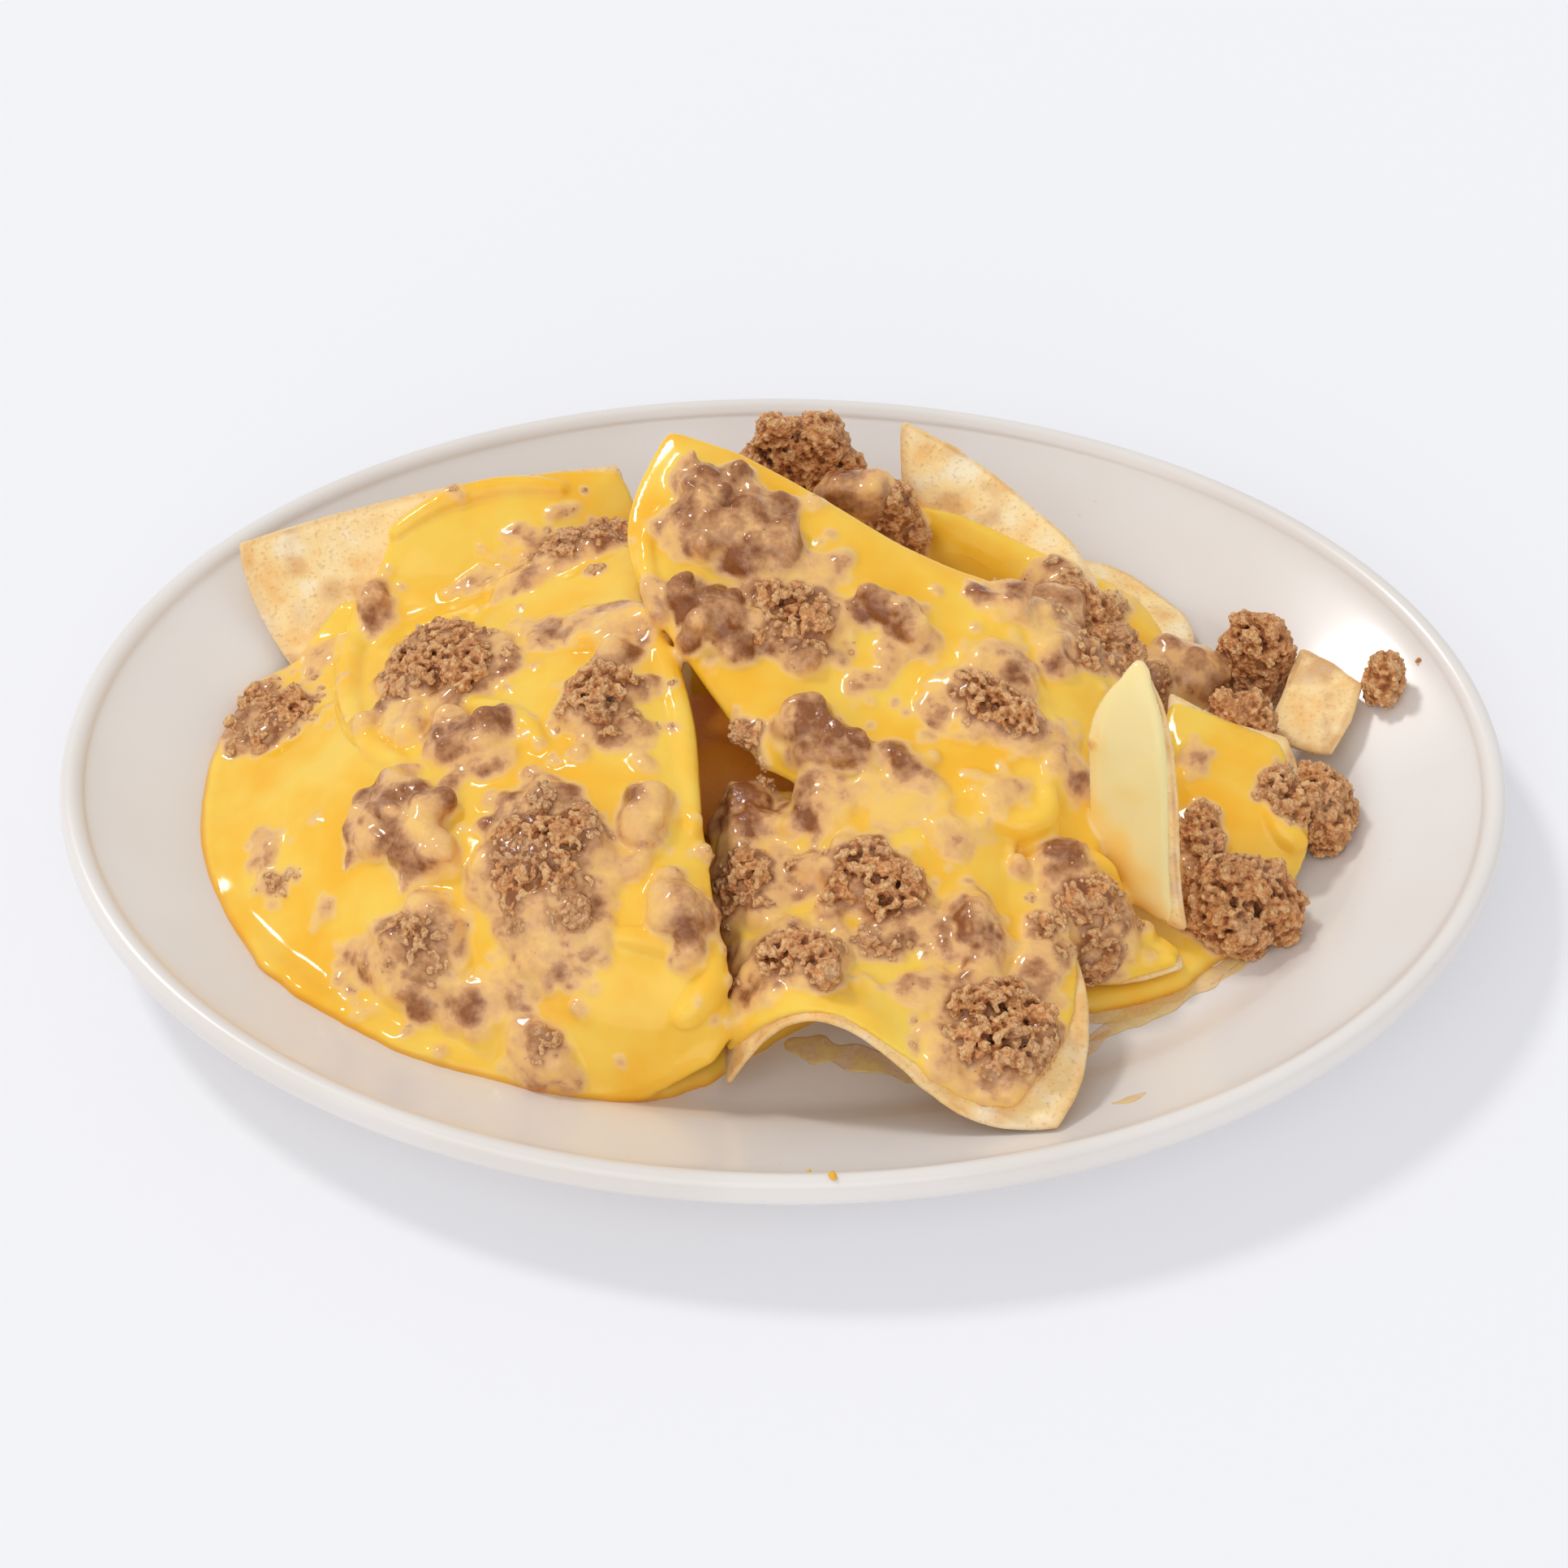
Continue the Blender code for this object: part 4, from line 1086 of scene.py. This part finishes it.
def clump_field(grains, body, low, step, shape, seed, smooth=0.0):
    """The distance field of one clump: its grains joined to its body, with two sizes of fine waves added. A
    smooth clump has wider fillets and weaker waves."""
    field = np.full(shape, FAR, np.float32)
    stamp(field, low, step, grains, 0.55 + smooth)
    spots = places(low, step, shape)
    field = joined(field, body(spots).astype(np.float32), 0.8 + smooth)
    fine = 0.34 * waves(spots, 2.6, seed) + 0.12 * waves(spots, 1.2, seed + 1)
    return field + fine * (1 - 0.6 * smooth), spots


def surface_grains(field, low, step, rng):
    """Fine grains scattered evenly over a field's surface: about one on each square millimetre."""
    near = np.argwhere(np.abs(field) < 0.6 * step)
    near = near[rng.random(len(near)) < step**2]
    place = low + step * (near + rng.uniform(-0.5, 0.5, near.shape))
    return np.column_stack([place, rng.uniform(0.36, 0.62, len(near)), leaning(rng, len(near), 0.8, 1.25)])


def box_mean(grid, reach):
    """A three-way grid averaged over 2 reach + 1 neighbours each way."""
    for axis in range(3):
        pad = [(0, 0)] * 3
        pad[axis] = (reach + 1, reach)
        total = np.cumsum(np.pad(grid, pad, mode="edge"), axis=axis, dtype=np.float64)
        ahead = np.take(total, range(2 * reach + 1, total.shape[axis]), axis=axis)
        behind = np.take(total, range(0, total.shape[axis] - 2 * reach - 1), axis=axis)
        grid = (ahead - behind) / (2 * reach + 1)
    return grid


def add_clump(name, grains, body, seed):
    """A bare or partly bare clump of crumbled beef. Its painted crevice shade is darkest where much of the
    room around is filled."""
    main = grains[grains[:, 3] > MAIN_GRAIN]
    if len(main) < 3:
        return
    low, high = main[:, :3].min(0) - 3.5, main[:, :3].max(0) + 3.0
    shape = lattice(low, high, BEEF_STEP)
    field, spots = clump_field(grains, body, low, BEEF_STEP, shape, seed)
    granules = surface_grains(field, low, BEEF_STEP, np.random.default_rng(seed))
    stamp(field, low, BEEF_STEP, granules, 0.16, 0.3)
    under = plate_top(spots[:, :, 0, 0], spots[:, :, 0, 1])[..., None] - 0.2 - spots[..., 2]
    field = np.maximum(field, under.astype(np.float32))
    for axis in range(3):
        for end in (0, -1):
            edge = [slice(None)] * 3
            edge[axis] = end
            field[tuple(edge)] = FAR
    points, quads = surface_of(field, low, BEEF_STEP)
    # Painted shade: how much of the room round each point is filled sets how dark its crevice is painted.
    painted_crevice_shade = read_field(box_mean((field < 0).astype(np.float32), 3), low, BEEF_STEP, points)
    piece = add_piece(
        name.capitalize(),
        points,
        [quads],
        BEEF,
        {"painted_crevice_shade": painted_crevice_shade, "film": ease(waves(points, 6.0, seed + 9), 0.1, 0.8) * 0.6},
    )
    if name in FILM:
        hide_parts(name)


# ---------------------------------------------------------------- sauce
# Where each sheet of sauce lies on its chip, as shares of the chip's rows and columns: the upper, lower,
# left and right borders, each by three values along it. The last entry says which borders wrap the chip's
# edge.
SHEET_SPACING = 1.3
START, BEFORE, BEYOND = (0.0, 0.0, 0.0), (-0.01, -0.01, -0.01), (1.01, 1.01, 1.01)
SAUCES = {
    "cheese_back_left": (
        "chip_back_left", (0.16, 0.02, 0.05), (1.10, 1.10, 1.10), (0.40, 0.33, 0.28), BEYOND, "br",
    ),
    "cheese_centre": (
        "chip_tall", (-0.015, -0.015, -0.015), (1.015, 1.015, 1.015),
        (-0.015, -0.015, -0.015), (1.015, 1.015, 1.015), "tblr",
    ),
    "cheese_front": (
        "chip_front", BEFORE, (0.965, 0.975, 0.95), (-0.015, -0.015, 0.01), (1.0, 0.96, 0.89), "tl",
    ),
    "cheese_standing": ("chip_standing", BEFORE, (0.99, 0.97, 0.95), BEFORE, (1.0, 0.92, 0.84), "tl"),
    "cheese_back_right": (
        "chip_back_right", (0.75, 0.55, 0.45), (1.05, 1.05, 1.05),
        (0.05, 0.02, 0.0), (0.93, 0.93, 0.97), "b",
    ),
    "cheese_low_back": ("chip_low_back", (0.35, 0.30, 0.45), BEYOND, START, (0.6, 0.7, 0.75), "bl"),
    "cheese_right": ("chip_right", (0.05, 0.04, 0.05), BEYOND, START, (0.93, 0.95, 1.0), "bl"),
    "cheese_mid_right": ("chip_mid_right", BEFORE, BEYOND, BEFORE, BEYOND, "tblr"),
    "cheese_front_right": (
        "chip_front_right", (0.1, 0.05, 0.1), (0.96, 0.98, 0.93), START, (0.95, 0.97, 0.95), "l",
    ),
}
# Sauce that lies on no single chip covers its own whole sheet.
for name in ("cheese_left", "flow_left", "flow_front", "flow_low_right", "flow_foot", "flow_right"):
    SAUCES[name] = (name, (0, 0, 0), (1, 1, 1), (0, 0, 0), (1, 1, 1), "own")


def sauce_area(name, count, seed):
    """Row and column shares of a sheet's grid: the square is drawn in at its corners, then stretched
    between its four curved borders, whose free runs waver."""
    _, upper, lower, left, right, wraps = SAUCES[name]
    share = np.linspace(0, 1, count)
    a, b = np.meshgrid(share, share, indexing="ij")
    a, b = squared_circle(a, b, 0.12 if wraps in ("own", "tblr") else 0.45)
    borders = []
    for k, (letter, values, along) in enumerate(
        (("t", upper, b), ("b", lower, b), ("l", left, a), ("r", right, a))
    ):
        line = three_point(*values, along)
        if letter not in wraps and wraps != "own":
            turn = np.stack([along * 40, np.full_like(along, seed + k), 0 * along], -1)
            line = line + 0.022 * waves(turn, 15.0, seed + k) + 0.008 * waves(turn, 6.0, seed + k + 4)
        borders.append(line)
    u = borders[0] + (borders[1] - borders[0]) * a
    v = borders[2] + (borders[3] - borders[2]) * b
    return u, v, a, b


def sauce_bottom(wraps, a, b):
    """How far under the chip's middle the sauce's underside is: below the chip at borders that wrap it, and
    inside it elsewhere."""
    if wraps == "own":
        return np.full(a.shape, -CHIP_THICKNESS * 0.9)
    wrapped = np.zeros(a.shape)
    for letter, distance in (("t", a), ("b", 1 - a), ("l", b), ("r", 1 - b)):
        if letter in wraps:
            wrapped = np.maximum(wrapped, 1 - ease(distance, 0.02, 0.10))
    return 0.2 - wrapped * (CHIP_THICKNESS / 2 + 0.75)


def sauce_sheet(name, seed):
    """One sheet of sauce as a closed slab: it stands off the chip by the sauce's own wavering depth and
    thins in a rounded edge."""
    chip, *_, wraps = SAUCES[name]
    net = np.asarray(SHEETS[chip], float)
    side = np.linalg.norm(net[-1, net.shape[1] // 2] - net[0, net.shape[1] // 2])
    count = int(side / SHEET_SPACING / 4 + 3) * 4 + 1
    u, v, a, b = sauce_area(name, count, seed)
    points, _, _, normal = sheet_frame(net, u, v)
    if wraps != "own":
        points = points + normal * 0.5 * waves(points, 13.0, chip_seed(chip))[..., None]
    spacing = np.linalg.norm(points[1:, :] - points[:-1, :], axis=-1).mean()
    distance = np.minimum(np.minimum(a, 1 - a), np.minimum(b, 1 - b)) * spacing * count
    wavering = 0.72 + 0.34 * waves(points, 17.0, seed) + 0.16 * waves(points, 8.0, seed + 1)
    depth = (FILM_DEPTH if name == "cheese_standing" else SAUCE_DEPTH) * wavering
    base = CHIP_THICKNESS / 2 if wraps != "own" else 0.0
    rim = np.sqrt(np.clip(distance / 5.0, 0, 1))
    upper = points + normal * (base + depth * (0.30 + 0.70 * rim))[..., None]
    lower = points + normal * sauce_bottom(wraps, a, b)[..., None]
    return rounded_slab(upper, lower, 4, 4)


POOL_MIDDLE = np.array((-15.0, -8.0))
POOL_OUTLINE = (
    (-121, 4), (-114, -32), (-95, -62), (-60, -79), (-30, -83), (-9, -73), (14, -56), (44, -54),
    (72, -54), (96, -36), (104, -6), (92, 26), (60, 52), (20, 62), (-30, 58), (-80, 46), (-113, 27),
)


def sauce_pool():
    """Sauce on the plate: rings from the middle out to a smooth closed outline, standing off the plate by a
    depth that falls in a rounded edge, and closed underneath just inside the glaze."""
    corners = np.asarray(POOL_OUTLINE, float)
    wrapped = np.concatenate([corners[-4:], corners, corners[:4]])
    count = 360
    at = (4 + np.arange(count) / count * len(corners)) / (len(wrapped) - 1)
    outline = spline_weights(len(wrapped), at) @ wrapped
    from_middle = outline - POOL_MIDDLE
    turn = np.column_stack([outline, np.zeros(count)])
    from_middle *= (1 + 0.014 * waves(turn, 11.0, 71) + 0.008 * waves(turn, 4.0, 72))[:, None]
    share = np.concatenate([np.linspace(0.03, 0.9, 60), 1 - 0.1 * np.linspace(1, 0, 16)[1:] ** 1.6])
    place = POOL_MIDDLE + from_middle[None] * share[:, None, None]
    x, y = place[..., 0], place[..., 1]
    flat = np.stack([x, y, np.zeros_like(x)], -1)
    edge = np.linalg.norm(from_middle, axis=1)[None] * (1 - share)[:, None]
    depth = 3.2 * np.sqrt(np.clip(1 - (1 - np.clip(edge / 5.0, 0, 1)) ** 2, 0, 1))
    height = depth * (1 + 0.10 * waves(flat, 12.0, 73))
    top = np.stack([x, y, plate_top(x, y) + 0.05 + height], -1)
    under = top[::-6].copy()
    under[..., 2] = plate_top(under[..., 0], under[..., 1]) - 0.5
    rings = np.concatenate([top, under])
    return closed_rings(rings, (*POOL_MIDDLE, 10.2), (*POOL_MIDDLE, 6.5))


def top_reader(field, low, step):
    """A function of x and y that gives the height of the topmost filled place, or of the plate where none
    is."""
    filled = field < 0
    deep = field.shape[2]
    highest = deep - 1 - np.argmax(filled[:, :, ::-1], axis=2)
    under = np.take_along_axis(field, highest[..., None], 2)[..., 0]
    over = np.take_along_axis(field, np.minimum(highest + 1, deep - 1)[..., None], 2)[..., 0]
    height = low[2] + (highest + np.clip(under / np.minimum(under - over, -1e-3), 0, 1)) * step
    x = low[0] + step * np.arange(field.shape[0])[:, None] + 0 * height
    y = low[1] + step * np.arange(field.shape[1])[None] + 0 * height
    height = np.where(filled.any(2), height, plate_top(x, y))

    def top(x, y):
        i = np.clip(np.rint((x - low[0]) / step).astype(int), 0, height.shape[0] - 1)
        j = np.clip(np.rint((y - low[1]) / step).astype(int), 0, height.shape[1] - 1)
        return height[i, j]

    return top


def bead_balls(radius, path, top):
    """Balls set close together along a smooth path on the sauce, smaller towards its ends."""
    path = np.asarray(path, float)
    length = np.linalg.norm(np.diff(path, axis=0), axis=1).sum()
    t = np.linspace(0, 1, int(length / 0.8) + 2)
    x, y = (spline_weights(len(path), t) @ path).T
    size = radius * (0.45 + 0.55 * np.sin(np.pi * t) ** 0.6)
    z = top(x, y)
    z = np.convolve(np.pad(z, 3, mode="edge"), np.full(7, 1 / 7), "valid") - 0.35 * size
    upright = np.broadcast_to((0.0, 0.0, 1.0, 1.0), (len(t), 4))
    return np.column_stack([x, y, z, size, upright])


def poured_sheets(low, shape):
    """The sheets of sauce and the pool joined into one field with wide fillets, and the thin film on the
    standing chip, which keeps its edge."""
    sauce = np.full(shape, FAR, np.float32)
    names = [name for name in SAUCES if name != "cheese_standing"]
    for k, name in enumerate((*names, "cheese_pool", "cheese_standing")):
        points, blocks = sauce_pool() if name == "cheese_pool" else sauce_sheet(name, 100 + 20 * k)
        slices, start = lattice_window(low, SAUCE_STEP, shape, points.min(0) - FAR, points.max(0) + FAR)
        part = sauce[slices]
        film = distance_to(points, blocks, start, part.shape, SAUCE_STEP)
        sauce[slices] = joined(part, film, 0.4 if name == "cheese_standing" else 2.6)
    top = top_reader(sauce, low, SAUCE_STEP)
    for radius, path in BEADS:
        stamp(sauce, low, SAUCE_STEP, bead_balls(radius, path, top), 1.8)
    standing = np.full(shape, FAR, np.float32)
    standing[slices] = film
    return sauce, standing


def steady_share(grains):
    """A steady random share for each grain, from its place."""
    return np.modf(np.abs(grains[:, 0] * 12.9898 + grains[:, 1] * 78.233))[0]


def coat(sauce, meat, low, grains, body, film, seed, smooth):
    """Joins one clump or patch into the sauce under a film whose thickness wavers."""
    if len(grains) == 0:
        return
    near, far = grains[:, :3].min(0) - FAR, grains[:, :3].max(0) + FAR
    slices, start = lattice_window(low, SAUCE_STEP, sauce.shape, near, far)
    part = sauce[slices]
    if part.size == 0:
        return
    shown = grains[(grains[:, 3] > 0.95 * smooth) | (steady_share(grains) < 0.25)]
    field, spots = clump_field(shown, body, start, SAUCE_STEP, part.shape, seed, smooth)
    poured = box_mean(box_mean(field, 1), 1) if film > 0.2 else box_mean(field, 1)
    thick = film + 0.12 + 0.55 * waves(spots, 6.0, 640) + 0.15 * waves(spots, 3.0, 641)
    sauce[slices] = joined(part, poured - thick, 2.0)
    meat[slices] = np.minimum(meat[slices], field)


def sauce_tints(points, meat, standing, low):
    """How much beef shows through the sauce, from the depth of sauce over it and a soft cloud round it; how
    oily the sauce is, near the plate; and how pale, in the film on the standing chip, less so low on its
    left."""
    x, y, z = points.T
    depth = read_field(meat, low, SAUCE_STEP, points)
    share = box_mean((meat < 0.2).astype(np.float32), 4)
    cloud = ease(read_field(share, low, SAUCE_STEP, points), 0.02, 0.42)
    shown = 0.66 * (1 - np.clip((depth - 0.05) / 1.25, 0, 1))
    on_chip = 1 - ease(read_field(standing, low, SAUCE_STEP, points), 0.3, 1.2)
    fade = 0.2 + 0.9 * ease(z + 1.2 * (x - 70), 14, 40) + 0.35 * waves(points, 5.0, 660)
    return {
        "meat": shown + 0.30 * cloud + 0.10 * waves(points, 4.0, 650) * cloud,
        "oil": 0.6 * (1 - ease(z - plate_top(x, y), 0.3, 2.2)),
        "pale": on_chip * np.clip(fade, 0, 1),
    }


def add_sauce_and_beef():
    """The sheets first, then the beef on them, then both joined: bare clumps are pieces of their own, and the
    sauce is one body that covers the rest."""
    boxes = np.array([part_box(name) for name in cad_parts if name.startswith("cheese")]) / MM
    low = boxes[:, 0].min(0) - (5, 5, 4)
    shape = lattice(low, boxes[:, 1].max(0) + (5, 5, 8), SAUCE_STEP)
    sauce, standing = poured_sheets(low, shape)
    top = top_reader(sauce, low, SAUCE_STEP)
    meat = np.full(shape, FAR, np.float32)
    rng = np.random.default_rng(5)
    for k, name in enumerate(sorted(FILM)):
        if name in STANDING:
            grains, body = solid_grains(name, rng)
        else:
            spot = spot_of(name, top)
            grains, body = patch_grains(spot, top, rng), patch_body(spot, top)
        if name not in COATED:
            add_clump(name, grains, body, 500 + 7 * k)
        coat(sauce, meat, low, grains, body, FILM[name], 500 + 7 * k, 0.9 if name in SMOOTH else 0.3)
        if name not in COATED and name not in STANDING:
            x, y, half_x, half_y, turn, height = spot
            skirt = (x, y, SKIRT_SPREAD * half_x, SKIRT_SPREAD * half_y, turn, max(0.45 * height, 1.6))
            grains, body = patch_grains(skirt, top, rng), patch_body(skirt, top)
            coat(sauce, meat, low, grains, body, SKIRT_FILM, 800 + 7 * k, 0.6)
    for k, (x, y, half_x, half_y, height, film) in enumerate(PATCHES):
        spot = (x, y, half_x, half_y, rng.uniform(-0.4, 0.4), height)
        grains, body = patch_grains(spot, top, rng), patch_body(spot, top)
        if film <= BARE:
            add_clump(f"crumbs_{k}", grains, body, 900 + 7 * k)
        coat(sauce, meat, low, grains, body, film, 900 + 7 * k, float(np.clip(film, 0.1, 0.6)))
    for k, (*heap, film) in enumerate(HEAPS):
        grains, body = heap_solid(*heap, rng)
        if film <= BARE:
            add_clump(f"heap_{k}", grains, body, 700 + 7 * k)
        coat(sauce, meat, low, grains, body, film, 700 + 7 * k, 0.3)
    points, quads = surface_of(sauce, low, SAUCE_STEP)
    tints = sauce_tints(points, meat, standing, low)
    piece = add_piece("Cheese_sauce", points, [quads], CHEESE, tints)
    nodes = [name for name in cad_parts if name.startswith("cheese")] + sorted(COATED)
    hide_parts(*nodes)


add_sauce_and_beef()

# ---------------------------------------------------------------- smears and strays on the plate
SMEAR_RINGS, SMEAR_SIDES = 61, 12
# Oily streaks: half width, then the places they run through.
SMEARS = (
    (2.2, ((98, -36), (91, -43), (82, -50), (72, -57), (63, -63))),
    (3.0, ((86, -44), (79, -49.5), (71, -54), (63, -57))),
    (1.3, ((68, -60), (64, -65), (61.5, -71), (62, -76))),
    # This smear lies in the shade under the arch of the front chip: its orange film is a painted warm glow of
    # light bounced into that shade.
    (4.0, ((2, -65), (14, -68), (28, -72), (42, -77))),
    (1.2, ((67, -88), (70, -87.5), (74, -85))),
    (0.8, ((100, -33), (96, -41), (89, -47))),
)
# Strays: place along and across the plate, size, and whether beef or sauce.
STRAYS = (
    (136.7, 35.5, 0.6, "beef"), (12.4, -114.6, 0.7, "cheese"), (122, 32, 0.8, "beef"),
    (8, -112.5, 0.4, "cheese"), (96, -38, 0.7, "beef"), (104, -30, 0.5, "beef"), (-119, 14, 0.7, "beef"),
    (-120, 10, 0.5, "beef"),
)


def add_smears():
    """Flat lens-shaped tubes along smooth paths on the glaze, narrow at both ends and wavering in width."""
    turn = np.linspace(0, 2 * np.pi, SMEAR_SIDES, endpoint=False)
    for number, (half, path) in enumerate(SMEARS):
        path = np.asarray(path, float)
        t = np.linspace(0, 1, SMEAR_RINGS)
        line = spline_weights(len(path), t) @ path
        along = np.gradient(line, axis=0)
        side = np.stack([-along[:, 1], along[:, 0]], -1) / np.linalg.norm(along, axis=1, keepdims=True)
        spots = np.column_stack([line, 0 * t])
        width = half * (0.04 + np.sin(np.pi * t) ** 0.5) * (1 + 0.5 * waves(spots, 4.0, 30 + number))
        flat = line[:, None] + side[:, None] * (width[:, None] * np.cos(turn))[..., None]
        lift = plate_top(flat[..., 0], flat[..., 1]) + 0.05 + 0.22 * np.sin(turn) * (width / half)[:, None]
        rings = np.concatenate([flat, lift[..., None]], -1)
        points, blocks = closed_rings(rings, rings[0].mean(0), rings[-1].mean(0))
        add_piece(f"Smear_{number}", points, blocks, OIL)


def add_strays():
    """Single crumbs on the plate: a few grains joined, each stray a piece of its own."""
    rng = np.random.default_rng(21)
    for number, (x, y, size, kind) in enumerate(STRAYS):
        middle = np.array((x, y, float(plate_top(np.array([x]), np.array([y]))[0]) + 0.5 * size))
        place = middle + rng.normal(scale=0.45 * size, size=(5, 3)) * (1, 1, 0.4)
        radius = size * rng.uniform(0.5, 0.95, 5)
        grains = np.column_stack([place, radius, leaning(rng, 5, 0.7, 1.5)])
        low = middle - 3.5 * size
        shape = lattice(low, middle + 3.5 * size, 0.25)
        field = np.full(shape, FAR, np.float32)
        stamp(field, low, 0.25, grains, 0.3)
        field = field + 0.12 * waves(places(low, 0.25, shape), 0.9, 77)
        points, quads = surface_of(field, low, 0.25)
        # Beef strays carry an even middling painted crevice shade.
        level = np.full(len(points), 0.45)
        if kind == "beef":
            add_piece(f"Stray_{number}", points, [quads], BEEF, {"painted_crevice_shade": level, "film": 0 * level})
        else:
            tint = {"meat": 0 * level, "oil": 0.4 + 0 * level, "pale": 0 * level}
            add_piece(f"Stray_{number}", points, [quads], CHEESE, tint)


add_smears()
add_strays()

# ---------------------------------------------------------------- floor and light
FLOOR_HALF = 4.0


def add_floor():
    """A broad pale floor that glows a little, so that it stays even and light."""
    mesh = bpy.data.meshes.new("Floor")
    corners = [(x * FLOOR_HALF, y * FLOOR_HALF, 0) for x, y in ((-1, -1), (1, -1), (1, 1), (-1, 1))]
    mesh.from_pydata(corners, [], [(0, 1, 2, 3)])
    finish = Finish("Pale floor")
    finish.constants(Base_Color=(*colour(212, 213, 217), 1.0), Roughness=0.7)
    finish.constants(Emission_Color=(*colour(250, 250, 255), 1.0), Emission_Strength=0.24)
    mesh.materials.append(finish.material)
    floor = bpy.data.objects.new("Floor", mesh)
    bpy.context.scene.collection.objects.link(floor)


def add_sun(name, towards, angle, strength):
    """A far soft light, even over the whole floor, whose disc is that many degrees wide."""
    data = bpy.data.lights.new(name, "SUN")
    data.angle = np.radians(angle)
    data.energy = strength
    data.color = (1.0, 0.985, 0.96)
    light = bpy.data.objects.new(name, data)
    light.rotation_euler = Vector(towards).to_track_quat("Z", "Y").to_euler()
    bpy.context.scene.collection.objects.link(light)


def add_room():
    """An even pale dome, a key light from behind on the left and a broad fill from the front."""
    world = bpy.data.worlds.new("Studio")
    bpy.context.scene.world = world
    world.use_nodes = True
    background = world.node_tree.nodes["Background"]
    background.inputs["Color"].default_value = (0.985, 0.99, 1.0, 1.0)
    background.inputs["Strength"].default_value = 0.64
    add_sun("Key", (-0.62, 0.50, 1.0), 10.0, 0.88)
    add_sun("Fill", (-0.22, -1.0, 0.8), 60.0, 0.74)
    bpy.context.scene.view_settings.view_transform = "Standard"


add_floor()
add_room()
